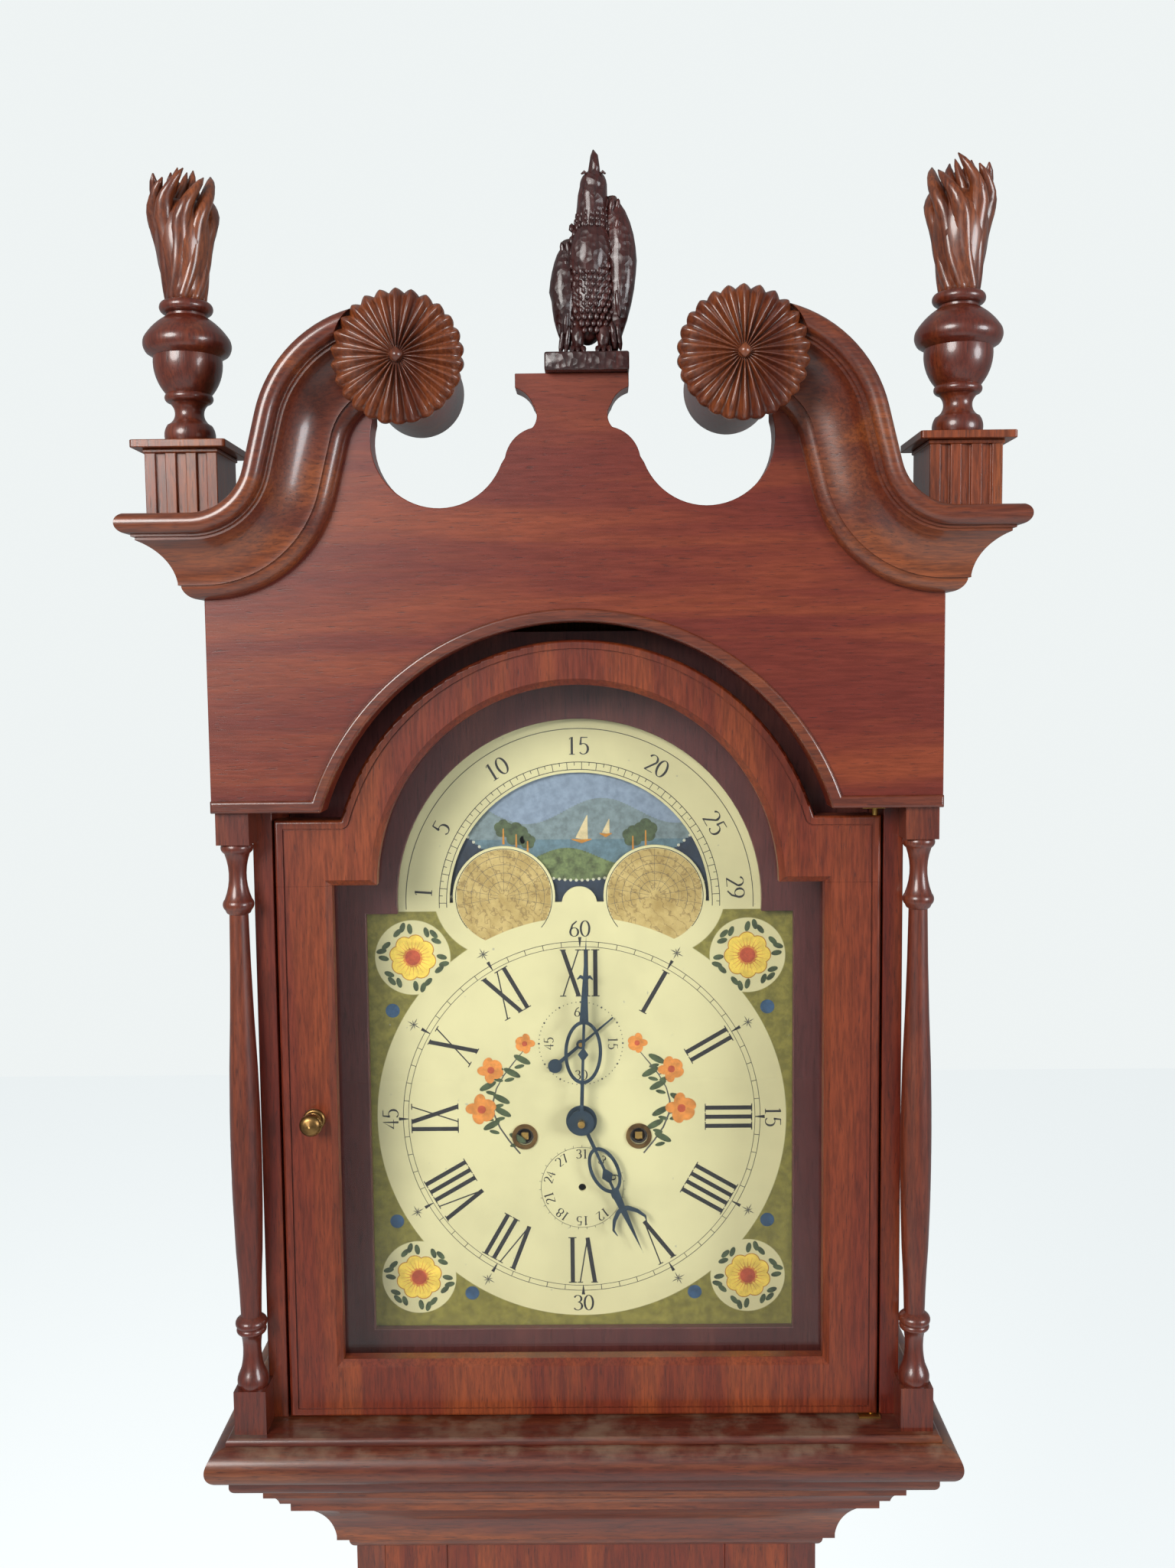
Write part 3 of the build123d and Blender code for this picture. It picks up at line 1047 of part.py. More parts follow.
def hands():
    """Pierced blued-steel hour and minute hands, and the seconds hand with its disc."""
    shapes = (("hour_hand", DIAL_Y - 6, HOUR_PIPE_R, HOUR_LONG, HOUR_TURN, 10.9),
              ("minute_hand", DIAL_Y - 11, ARBOR_R, MINUTE_LONG, MINUTE_TURN, 9.0))
    for name, y, bore, long, turn, hub in shapes:
        with BuildPart() as hand:
            with BuildSketch(Plane.XY):
                Circle(hub)
                with Locations((0, 0.30 * long)):
                    Rectangle(2.6, 0.5 * long)
                with Locations((0, 0.38 * long)):
                    Ellipse(0.10 * long, 0.17 * long)
                    Ellipse(0.10 * long - 2.4, 0.17 * long - 2.4, mode=Mode.SUBTRACT)
                    Rectangle(2.0, 0.34 * long)
                with BuildLine():
                    Polyline((-3.2, 0.54 * long), (0, long), (3.2, 0.54 * long), (-3.2, 0.54 * long))
                make_face()
                Circle(bore, mode=Mode.SUBTRACT)
            extrude(amount=HAND_THICK)
        angle = radians(turn)
        aim = Plane(origin=(0, y, CENTRE_Z), x_dir=(cos(angle), 0, -sin(angle)), z_dir=(0, -1, 0))
        with BuildPart() as placed:
            add(aim.location * hand.part)
        save(placed, name)
    with BuildPart() as seconds:
        with BuildSketch(Plane.XY):
            Circle(3.2)
            with BuildLine():
                Polyline((-1.3, -20), (-0.5, SECONDS_LONG), (0.5, SECONDS_LONG), (1.3, -20), (-1.3, -20))
            make_face()
            with Locations((0, -24)):
                Circle(5.0)
            Circle(STUD_R, mode=Mode.SUBTRACT)
        extrude(amount=0.8)
    angle = radians(SECONDS_TURN)
    aim = Plane(origin=(0, DIAL_Y - 2.6, SECONDS_Z), x_dir=(cos(angle), 0, -sin(angle)), z_dir=(0, -1, 0))
    with BuildPart() as placed:
        add(aim.location * seconds.part)
    save(placed, "seconds_hand")


def bell_and_hammer():
    """Bell on its standard, and the hammer that strikes it."""
    with BuildPart() as bell:
        with BuildSketch(Plane.XZ):
            with BuildLine():
                trace([(BELL_R, 0), ((BELL_R * 0.80, BELL_R * 0.50), (0, BELL_R * 0.72)),
                       (0, BELL_R * 0.72 - 2.2), ((BELL_R * 0.77, BELL_R * 0.46), (BELL_R - 2.6, 0)),
                       (BELL_R, 0)])
            make_face()
        revolve(axis=Axis.Z)
    post_y = REAR + PLATE_THICK + 4
    top = BELL_Z + BELL_R * 0.72
    with BuildPart() as placed:
        add(Pos(0, BELL_Y, BELL_Z) * bell.part)
        block((STAND_X - 5, REAR + PLATE_THICK, PLATE_HIGH - 22), (STAND_X + 5, post_y + 3, PLATE_HIGH - 4))
        block((STAND_X - 3, post_y - 3, PLATE_HIGH - 22), (STAND_X + 3, post_y + 3, top + 6))
        block((STAND_X - 3, BELL_Y - 4, top + 1), (STAND_X + 3, post_y + 3, top + 6))
        block((-4, BELL_Y - 4, top + 1), (STAND_X + 3, BELL_Y + 4, top + 6))
        with Locations((0, BELL_Y, top - 3)):
            Cylinder(4, 4, align=(Align.CENTER, Align.CENTER, Align.MIN))
    save(placed, "bell")
    with BuildPart() as hammer:
        rod(HAMMER_X, HAMMER_Z, ARBOR_R, FRONT_PLATE_Y, REAR + PLATE_THICK)
        block((HAMMER_X - 2, BELL_Y - 1.5, HAMMER_Z), (HAMMER_X + 2, BELL_Y + 1.5, BELL_Z + 4))
        with Locations(Plane(origin=(HAMMER_X - 4, BELL_Y, BELL_Z + 4), z_dir=(1, 0, 0))):
            Cylinder(5, 12, align=(Align.CENTER, Align.CENTER, Align.MIN))
    save(hammer, "hammer")


def pendulum():
    """Pallets with their crutch, the pendulum rod and the lens bob with its rating nut."""
    axis_z = SECONDS_Z + PALLET_UP
    with BuildPart() as pallets:
        rod(0, axis_z, ARBOR_R, FRONT_PLATE_Y, PENDULUM_Y - 6)
        with BuildSketch(facing(DIAL_Y + 78)):
            with Locations((0, axis_z)):
                Circle(5)
            for side in (-1, 1):
                with BuildLine():
                    Polyline((side * 2, axis_z + 4), (side * 15.5, axis_z - 3), (side * 15.5, axis_z - 9),
                             (side * 12.5, axis_z - 7.5), (side * 11, axis_z - 4), (side * 2, axis_z - 4),
                             (side * 2, axis_z + 4))
                make_face()
        extrude(amount=-2.5)
        block((-2, PENDULUM_Y - 9, axis_z - 150), (2, PENDULUM_Y - 7, axis_z))
        for side in (-1, 1):
            x = side * (ROD_WIDE / 2 + 1.4)
            block((x - 1, PENDULUM_Y - 9, axis_z - 152), (x + 1, PENDULUM_Y + 3, axis_z - 148))
        block((-ROD_WIDE / 2 - 2.4, PENDULUM_Y - 9, axis_z - 152),
              (ROD_WIDE / 2 + 2.4, PENDULUM_Y - 7, axis_z - 148))
    save(pallets, "pallets_and_crutch")
    low = axis_z - PENDULUM_LONG
    with BuildPart() as bar:
        block((-4, PENDULUM_Y - 0.4, axis_z - 30), (4, PENDULUM_Y + 0.4, axis_z + 6))
        block((-ROD_WIDE / 2, PENDULUM_Y - ROD_THICK / 2, low - 30),
              (ROD_WIDE / 2, PENDULUM_Y + ROD_THICK / 2, axis_z - 30))
        with Locations((0, PENDULUM_Y, low - 30)):
            Cylinder(2, BOB_R + 20, align=(Align.CENTER, Align.CENTER, Align.MAX))
    save(bar, "pendulum_rod")
    with BuildPart() as bob:
        with BuildSketch(Plane.XZ):
            with BuildLine():
                trace([(0, -BOB_THICK / 2), ((BOB_R * 0.6, -BOB_THICK * 0.36), (BOB_R, -1)), (BOB_R, 1),
                       ((BOB_R * 0.6, BOB_THICK * 0.36), (0, BOB_THICK / 2)), (0, -BOB_THICK / 2)])
            make_face()
        revolve(axis=Axis.Z)
    with BuildPart() as placed:
        add(Plane(origin=(0, PENDULUM_Y, low), x_dir=(1, 0, 0), z_dir=(0, -1, 0)).location * bob.part)
    with BuildPart() as drilled:
        add(placed.part)
        with Locations((0, PENDULUM_Y, low)):
            Box(ROD_WIDE + 2 * SEAM, 4 + 2 * SEAM, 2 * BOB_R + 10, mode=Mode.SUBTRACT)
        with Locations((0, PENDULUM_Y, low - BOB_R - 4)):
            Cylinder(8, 5, align=(Align.CENTER, Align.CENTER, Align.MAX))
            Cylinder(2, 5, align=(Align.CENTER, Align.CENTER, Align.MAX), mode=Mode.SUBTRACT)
    save(drilled, "pendulum_bob")


def weights():
    """Two cased lead weights on pulleys, with the gut lines that carry them."""
    for side, name in ((1, "going"), (-1, "strike")):
        x = side * WIND_X
        with BuildPart() as weight:
            rod(x, PULLEY_Z, PULLEY_R, WEIGHT_Y - PULLEY_THICK / 2, WEIGHT_Y + PULLEY_THICK / 2)
            rod(x, PULLEY_Z, 2.5, WEIGHT_Y - PULLEY_THICK / 2 - 4, WEIGHT_Y + PULLEY_THICK / 2 + 4)
            for y in (WEIGHT_Y - PULLEY_THICK / 2 - 3, WEIGHT_Y + PULLEY_THICK / 2 + 1):
                block((x - 5, y, PULLEY_Z - PULLEY_R - 12), (x + 5, y + 2, PULLEY_Z + 5))
            block((x - 5, WEIGHT_Y - PULLEY_THICK / 2 - 3, PULLEY_Z - PULLEY_R - 14),
                  (x + 5, WEIGHT_Y + PULLEY_THICK / 2 + 3, PULLEY_Z - PULLEY_R - 11))
            top = PULLEY_Z - PULLEY_R - 24
            with Locations((x, WEIGHT_Y, top)):
                Cylinder(3, 12, align=(Align.CENTER, Align.CENTER, Align.MIN))
                Cylinder(WEIGHT_R, WEIGHT_HIGH, align=(Align.CENTER, Align.CENTER, Align.MAX))
        save(weight, f"{name}_weight")
        with BuildPart() as line:
            for dx in (-LINE_REACH, LINE_REACH):
                with Locations((x + dx, WEIGHT_Y, PULLEY_Z)):
                    Cylinder(LINE_R, PLATE_LOW - PULLEY_Z, align=(Align.CENTER, Align.CENTER, Align.MIN))
        save(line, f"{name}_line")
    with BuildPart() as tops:
        for side in (-1, 1):
            with Locations((side * (WIND_X + LINE_REACH), WEIGHT_Y, PLATE_LOW)):
                Cylinder(LINE_R, WIND_Z - PLATE_LOW, align=(Align.CENTER, Align.CENTER, Align.MIN))
    save(tops, "line_tops")


feet()
base()
waist()
waist_door()
hood_case()
pediment()
plinths()
finials()
eagle()
columns()
hood_door()
dial_and_mask()
movement_frame()
going_train()
hands()
bell_and_hammer()
pendulum()
weights()
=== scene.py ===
"""Looks for the longcase clock: finishes, carving, dial painting and hands around the fixed frame."""

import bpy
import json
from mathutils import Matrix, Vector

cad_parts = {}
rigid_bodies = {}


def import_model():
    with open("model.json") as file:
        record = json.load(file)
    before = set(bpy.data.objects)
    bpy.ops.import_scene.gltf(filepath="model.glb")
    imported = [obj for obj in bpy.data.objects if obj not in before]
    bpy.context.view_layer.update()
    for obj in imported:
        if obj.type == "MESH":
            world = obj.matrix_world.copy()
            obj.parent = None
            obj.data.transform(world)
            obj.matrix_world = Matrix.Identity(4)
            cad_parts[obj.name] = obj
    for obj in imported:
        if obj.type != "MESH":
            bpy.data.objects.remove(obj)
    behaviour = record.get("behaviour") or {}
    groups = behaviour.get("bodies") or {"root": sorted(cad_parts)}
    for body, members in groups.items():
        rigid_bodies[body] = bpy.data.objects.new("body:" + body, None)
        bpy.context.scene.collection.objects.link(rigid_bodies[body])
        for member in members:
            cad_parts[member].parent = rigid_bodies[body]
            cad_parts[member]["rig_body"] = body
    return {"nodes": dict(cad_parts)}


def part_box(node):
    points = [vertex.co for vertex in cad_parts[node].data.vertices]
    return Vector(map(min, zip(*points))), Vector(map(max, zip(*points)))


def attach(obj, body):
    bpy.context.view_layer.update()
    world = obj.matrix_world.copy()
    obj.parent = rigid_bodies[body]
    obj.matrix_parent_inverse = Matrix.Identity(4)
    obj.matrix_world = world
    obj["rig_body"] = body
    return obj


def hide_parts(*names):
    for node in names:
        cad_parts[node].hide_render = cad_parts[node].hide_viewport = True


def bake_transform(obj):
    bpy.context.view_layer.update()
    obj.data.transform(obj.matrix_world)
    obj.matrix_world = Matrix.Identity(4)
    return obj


bl_info = {
    "name": "Longcase clock",
    "version": (1, 0, 0),
    "blender": (4, 5, 0),
    "location": "3D View > Sidebar > Clock",
    "description": "Builds the visual model of a longcase clock with a painted moon dial",
    "category": "Object",
}

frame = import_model()

import json
import random
from math import atan2, cos, hypot, pi, radians, sin

import bmesh
import bpy
from mathutils import Matrix, Vector

MM = 0.001
DIAL_Z = 1.6  # lower edge of the dial, metres
DIAL_Y = -0.0155  # painted face of the dial, metres
CENTRE = 150.9  # dial centre above the dial's lower edge, millimetres
SECONDS = 204.8  # centre of the seconds dial
DATE = 99.9  # centre of the date dial
ARCH = 306.0  # centre of the arch
HUMP = (53, 310)  # place of the right hump
MOON = 304  # axis of the moon disc
MOON_OUT = 60  # distance of each moon from that axis
NODES = frame["nodes"]


# Small helpers

def srgb(r, g, b):
    """Eight-bit colour as a linear RGBA tuple."""
    def line(c):
        c = c / 255
        return c / 12.92 if c <= 0.04045 else ((c + 0.055) / 1.055) ** 2.4
    return (line(r), line(g), line(b), 1.0)


def shade(colour, factor):
    """The colour made darker or lighter."""
    return tuple(min(1.0, c * factor) for c in colour[:3]) + (1.0,)


def around(x, z, radius, angle):
    """The place on a circle at an angle, degrees clockwise from the top."""
    return (x + radius * sin(radians(angle)), z + radius * cos(radians(angle)))


def new_object(bm, name, materials):
    """Turns a bmesh into an object of the scene."""
    mesh = bpy.data.meshes.new(name)
    bm.to_mesh(mesh)
    bm.free()
    for material in materials:
        mesh.materials.append(material)
    obj = bpy.data.objects.new(name, mesh)
    bpy.context.scene.collection.objects.link(obj)
    return obj


def finish_mesh(bm, name, body, materials, replaces=(), flat=False):
    """Turns a bmesh into an object that rides on a body."""
    obj = new_object(bm, name, materials)
    if not flat:
        for face in obj.data.polygons:
            face.use_smooth = True
    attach(obj, body)
    if replaces:
        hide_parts(*replaces)
    return obj


def sharpen(bm, angle):
    """Marks the edges steeper than an angle as sharp."""
    for edge in bm.edges:
        if len(edge.link_faces) == 2:
            edge.smooth = edge.calc_face_angle(0) < radians(angle)


def dress(node, materials, rounding=0.0, sharp=32, pick=None):
    """A smooth copy of a CAD node with rounded edges, in place of the node."""
    bm = bmesh.new()
    bm.from_mesh(NODES[node].data)
    bmesh.ops.remove_doubles(bm, verts=bm.verts, dist=1e-5)
    if rounding:
        bmesh.ops.dissolve_limit(bm, angle_limit=radians(0.4), verts=bm.verts, edges=bm.edges)
    sharpen(bm, sharp)
    for face in bm.faces:
        face.material_index = pick(face) if pick else 0
    obj = finish_mesh(bm, node + "_finished", NODES[node]["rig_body"], materials, (node,))
    if rounding:
        bevel = obj.modifiers.new("rounded edges", "BEVEL")
        bevel.width = rounding
        bevel.segments = 2
        bevel.limit_method = "ANGLE"
        bevel.angle_limit = radians(sharp)
        weighted = obj.modifiers.new("even shading", "WEIGHTED_NORMAL")
        weighted.keep_sharp = True
    return obj


def dress_all(slot, finish, *nodes, rounding=0.0, sharp=32):
    """Dresses several CAD nodes alike."""
    for node in nodes:
        dress(node, [FINISH[finish]], rounding, sharp)


# Node groups and materials

def node_group(name, inputs):
    """A new shader group and its input node; None stands for a vector, a tuple for a colour."""
    group = bpy.data.node_groups.new(name, "ShaderNodeTree")
    kinds = {type(None): "Vector", tuple: "Color", float: "Float"}
    for label, value in inputs.items():
        kind = "NodeSocket" + kinds[type(value)]
        socket = group.interface.new_socket(label, in_out="INPUT", socket_type=kind)
        if value is not None:
            socket.default_value = value
    return group, group.nodes.new("NodeGroupInput").outputs


def group_outputs(group, values):
    """Gives a shader group its outputs and links them."""
    for label in values:
        kind = "NodeSocketColor" if label == "Color" else "NodeSocketFloat"
        group.interface.new_socket(label, in_out="OUTPUT", socket_type=kind)
    feed(group.nodes.new("NodeGroupOutput"), values)


def feed(node, values):
    """Puts a value or a link on each named or numbered socket of a node."""
    for key, value in values.items():
        if isinstance(value, bpy.types.NodeSocket):
            node.id_data.links.new(value, node.inputs[key])
        else:
            node.inputs[key].default_value = value


def add_node(tree, kind, values=None, **settings):
    """A shader node with its settings and the values of its sockets."""
    node = tree.nodes.new("ShaderNode" + kind)
    for key, value in settings.items():
        setattr(node, key, value)
    feed(node, values or {})
    return node


def object_place(tree):
    """Object coordinates."""
    return add_node(tree, "TexCoord").outputs["Object"]


def math_node(operation, a, b=None, clamp=False):
    """A Math node on sockets or numbers, one of them a socket. Returns its output."""
    tree = next(v for v in (a, b) if isinstance(v, bpy.types.NodeSocket)).id_data
    values = {0: a} if b is None else {0: a, 1: b}
    return add_node(tree, "Math", values, operation=operation, use_clamp=clamp).outputs[0]


def mix_node(factor, a, b):
    """A colour Mix node; the factor is a socket, the others may be colours. Returns its output."""
    return add_node(factor.id_data, "Mix", {0: factor, 6: a, 7: b}, data_type="RGBA").outputs[2]


def noise_node(vector, scale, detail, rough, distortion=0.0):
    """A noise texture's value."""
    values = {"Vector": vector, "Scale": scale, "Detail": detail, "Roughness": rough}
    return add_node(vector.id_data, "TexNoise", {**values, "Distortion": distortion}).outputs[0]


def step_node(value, low, high):
    """Maps a socket's value to 0..1 between two limits."""
    values = {0: value, 1: low, 2: high}
    return add_node(value.id_data, "MapRange", values, interpolation_type="SMOOTHSTEP").outputs[0]


def build_wood_group():
    """Mahogany: slow figure, fibres and open pores along the grain."""
    group, inside = node_group("wood grain", {
        "Vector": None, "Dark": srgb(60, 18, 12), "Middle": srgb(112, 40, 24), "Light": srgb(140, 70, 36),
        "Fibre": 0.5})
    figure = noise_node(inside["Vector"], 2.6, 3.0, 0.55, 0.6)
    fibre = noise_node(inside["Vector"], 46.0, 7.0, 0.66, 0.2)
    pores = noise_node(inside["Vector"], 95.0, 2.0, 0.5)
    body = mix_node(step_node(figure, 0.42, 0.68), inside["Middle"], inside["Light"])
    streak = math_node("MULTIPLY", step_node(fibre, 0.66, 0.34), inside["Fibre"])
    body = mix_node(streak, body, inside["Dark"])
    pit = step_node(pores, 0.40, 0.30)
    body = mix_node(math_node("MULTIPLY", pit, 0.55), body, inside["Dark"])
    rough = math_node("ADD", 0.27, math_node("MULTIPLY", fibre, 0.22))
    height = math_node("SUBTRACT", fibre, math_node("MULTIPLY", pit, 0.8))
    group_outputs(group, {"Color": body, "Roughness": rough, "Height": height})


def build_dust_group():
    """Dust and rubbed wax that settles on faces that look up."""
    group, inside = node_group("dust", {
        "Color": (0.5, 0.5, 0.5, 1), "Amount": 0.3, "Dust": srgb(150, 130, 105)})
    geometry = add_node(group, "NewGeometry")
    split = add_node(group, "SeparateXYZ", {0: geometry.outputs["Normal"]})
    up = step_node(split.outputs[2], 0.35, 0.95)
    patch = step_node(noise_node(object_place(group), 42.0, 5.0, 0.6), 0.40, 0.72)
    mask = math_node("MULTIPLY", math_node("MULTIPLY", up, patch), inside["Amount"])
    group_outputs(group, {"Color": mix_node(mask, inside["Color"], inside["Dust"]), "Mask": mask})


def build_metal_group():
    """Fine scratches and tarnish for brass and steel."""
    group, inside = node_group("worn metal", {
        "Bright": srgb(190, 150, 80), "Tarnish": srgb(90, 65, 35), "Wear": 0.5})
    place = object_place(group)
    cloud = noise_node(place, 90.0, 5.0, 0.6)
    scratch = noise_node(place, 900.0, 2.0, 0.5)
    mask = math_node("MULTIPLY", step_node(cloud, 0.35, 0.7), inside["Wear"])
    rough = math_node("ADD", 0.22, math_node("MULTIPLY", scratch, 0.3))
    group_outputs(group, {"Color": mix_node(mask, inside["Bright"], inside["Tarnish"]), "Roughness": rough})


def new_material(name):
    """A material with its tree and its Principled shader."""
    material = bpy.data.materials.new(name)
    material.use_nodes = True
    return material, material.node_tree, material.node_tree.nodes["Principled BSDF"]


def place_group(tree, group, **values):
    """A group node in a material, with values or links on its named sockets."""
    return add_node(tree, "Group", values, node_tree=bpy.data.node_groups[group])


def wood(name, along, dark, middle, light, fibre=0.5, coat=0.35, dust=0.12, start=(0, 0, 0), relief=0.12):
    """Polished wood with its grain along an axis."""
    material, tree, shader = new_material(name)
    squeeze = tuple(1 if axis == along else 11 for axis in "xyz")
    mapping = add_node(tree, "Mapping", {"Vector": object_place(tree), "Scale": squeeze, "Location": start})
    grain = place_group(tree, "wood grain", Vector=mapping.outputs[0], Dark=dark, Middle=middle, Light=light,
                        Fibre=fibre)
    settled = place_group(tree, "dust", Color=grain.outputs["Color"], Amount=dust)
    rough = math_node("ADD", grain.outputs["Roughness"], settled.outputs["Mask"], True)
    bump = add_node(tree, "Bump", {"Strength": relief, "Distance": 0.0006, "Height": grain.outputs["Height"]})
    feed(shader, {"Base Color": settled.outputs["Color"], "Roughness": rough, "Normal": bump.outputs[0],
                  "Coat Weight": coat, "Coat Roughness": 0.14})
    return material


def metal(name, bright, tarnish, wear=0.5, metallic=1.0):
    """Brass, steel or bell metal with tarnish."""
    material, tree, shader = new_material(name)
    worn = place_group(tree, "worn metal", Bright=bright, Tarnish=tarnish, Wear=wear)
    feed(shader, {"Base Color": worn.outputs["Color"], "Roughness": worn.outputs["Roughness"],
                  "Metallic": metallic})
    return material


def paint(name, colour, vary=0.12, rough=0.45):
    """Brushed oil paint of one colour, a little uneven."""
    material, tree, shader = new_material(name)
    cloud = step_node(noise_node(object_place(tree), 160.0, 5.0, 0.65), 0.3, 0.7)
    uneven = mix_node(cloud, shade(colour, 1 - 2.2 * vary), shade(colour, 1 + vary))
    feed(shader, {"Base Color": uneven, "Roughness": rough})
    return material


def ring_distance(x, z, centre_x, centre_z):
    """Distance from a point on the dial, in metres."""
    squares = []
    for value, centre in ((x, centre_x), (z, centre_z)):
        gap = math_node("SUBTRACT", value, centre)
        squares.append(math_node("MULTIPLY", gap, gap))
    return math_node("SQRT", math_node("ADD", *squares))


def dial_paint(cream, olive):
    """Cream dial with olive corners, pale roundels and fine age spots."""
    material, tree, shader = new_material("dial paint")
    place = object_place(tree)
    split = add_node(tree, "SeparateXYZ", {0: place})
    x = math_node("ABSOLUTE", split.outputs[0])
    z = split.outputs[2]
    middle = DIAL_Z + CENTRE * MM
    mirrored = math_node("ABSOLUTE", math_node("SUBTRACT", z, middle))
    below = step_node(z, middle, middle - 0.001)
    corner = math_node("MAXIMUM", step_node(x, 0.0400, 0.0404), below)
    for distance, low, high in (
            (ring_distance(x, z, 0.0, middle), 0.1450, 0.1458),
            (ring_distance(x, mirrored, 0.118, 0.1165), 0.0262, 0.0270),
            (ring_distance(x, z, 0.058, DIAL_Z + 0.312), 0.0440, 0.0450),
            (z, DIAL_Z + 0.3005, DIAL_Z + 0.2998)):
        corner = math_node("MULTIPLY", corner, step_node(distance, low, high))
    cloud = noise_node(place, 130.0, 6.0, 0.7)
    green = mix_node(step_node(cloud, 0.35, 0.68), shade(olive, 0.58), olive)
    wash = noise_node(place, 16.0, 6.0, 0.6)
    ivory = mix_node(step_node(wash, 0.35, 0.75), cream, shade(cream, 0.86))
    spots = step_node(noise_node(place, 240.0, 2.0, 0.5), 0.74, 0.80)
    colour = mix_node(math_node("MULTIPLY", spots, 0.6), mix_node(corner, ivory, green),
                      srgb(150, 150, 140))
    feed(shader, {"Base Color": colour, "Roughness": 0.42, "Coat Weight": 0.15})
    return material


def hump_paint():
    """Gilt-tan ground with fine engraved hatching."""
    material, tree, shader = new_material("hump gilding")
    place = object_place(tree)
    wave = add_node(tree, "TexWave", {"Vector": place, "Scale": 62.0, "Distortion": 9.0, "Detail": 3.0,
                                      "Detail Scale": 3.0}, wave_type="BANDS", bands_direction="DIAGONAL")
    line = math_node("MULTIPLY", step_node(wave.outputs["Fac"], 0.12, 0.02), 0.45)
    cloud = step_node(noise_node(place, 60.0, 6.0, 0.7), 0.3, 0.7)
    ground = mix_node(cloud, srgb(168, 142, 80), srgb(204, 180, 116))
    feed(shader, {"Base Color": mix_node(line, ground, srgb(96, 70, 38)), "Roughness": 0.5})
    return material


def glass_material():
    """Clear old window glass that lets the lamps through."""
    material, tree, shader = new_material("door glass")
    feed(shader, {"Base Color": (0.97, 0.98, 0.97, 1), "Roughness": 0.02, "IOR": 1.45,
                  "Transmission Weight": 1.0})
    path = add_node(tree, "LightPath")
    clear = add_node(tree, "BsdfTransparent")
    either = math_node("MAXIMUM", path.outputs["Is Shadow Ray"], path.outputs["Is Diffuse Ray"])
    mix = add_node(tree, "MixShader", {0: either, 1: shader.outputs[0], 2: clear.outputs[0]})
    feed(tree.nodes["Material Output"], {"Surface": mix.outputs[0]})
    return material


def carved(name, dark, middle, light, scale=220.0, relief=0.9):
    """Carved and polished wood with feather or tool marks."""
    material = wood(name, "z", dark, middle, light, 0.6, 0.5, 0.10)
    tree = material.node_tree
    grain = next(n for n in tree.nodes if n.type == "BUMP")
    cells = add_node(tree, "TexVoronoi", {"Vector": object_place(tree), "Scale": scale})
    marks = add_node(tree, "Bump", {"Strength": relief, "Distance": 0.0012, "Normal": grain.outputs[0],
                                    "Height": cells.outputs["Distance"]})
    feed(tree.nodes["Principled BSDF"], {"Normal": marks.outputs[0]})
    return material


FINISH = {}


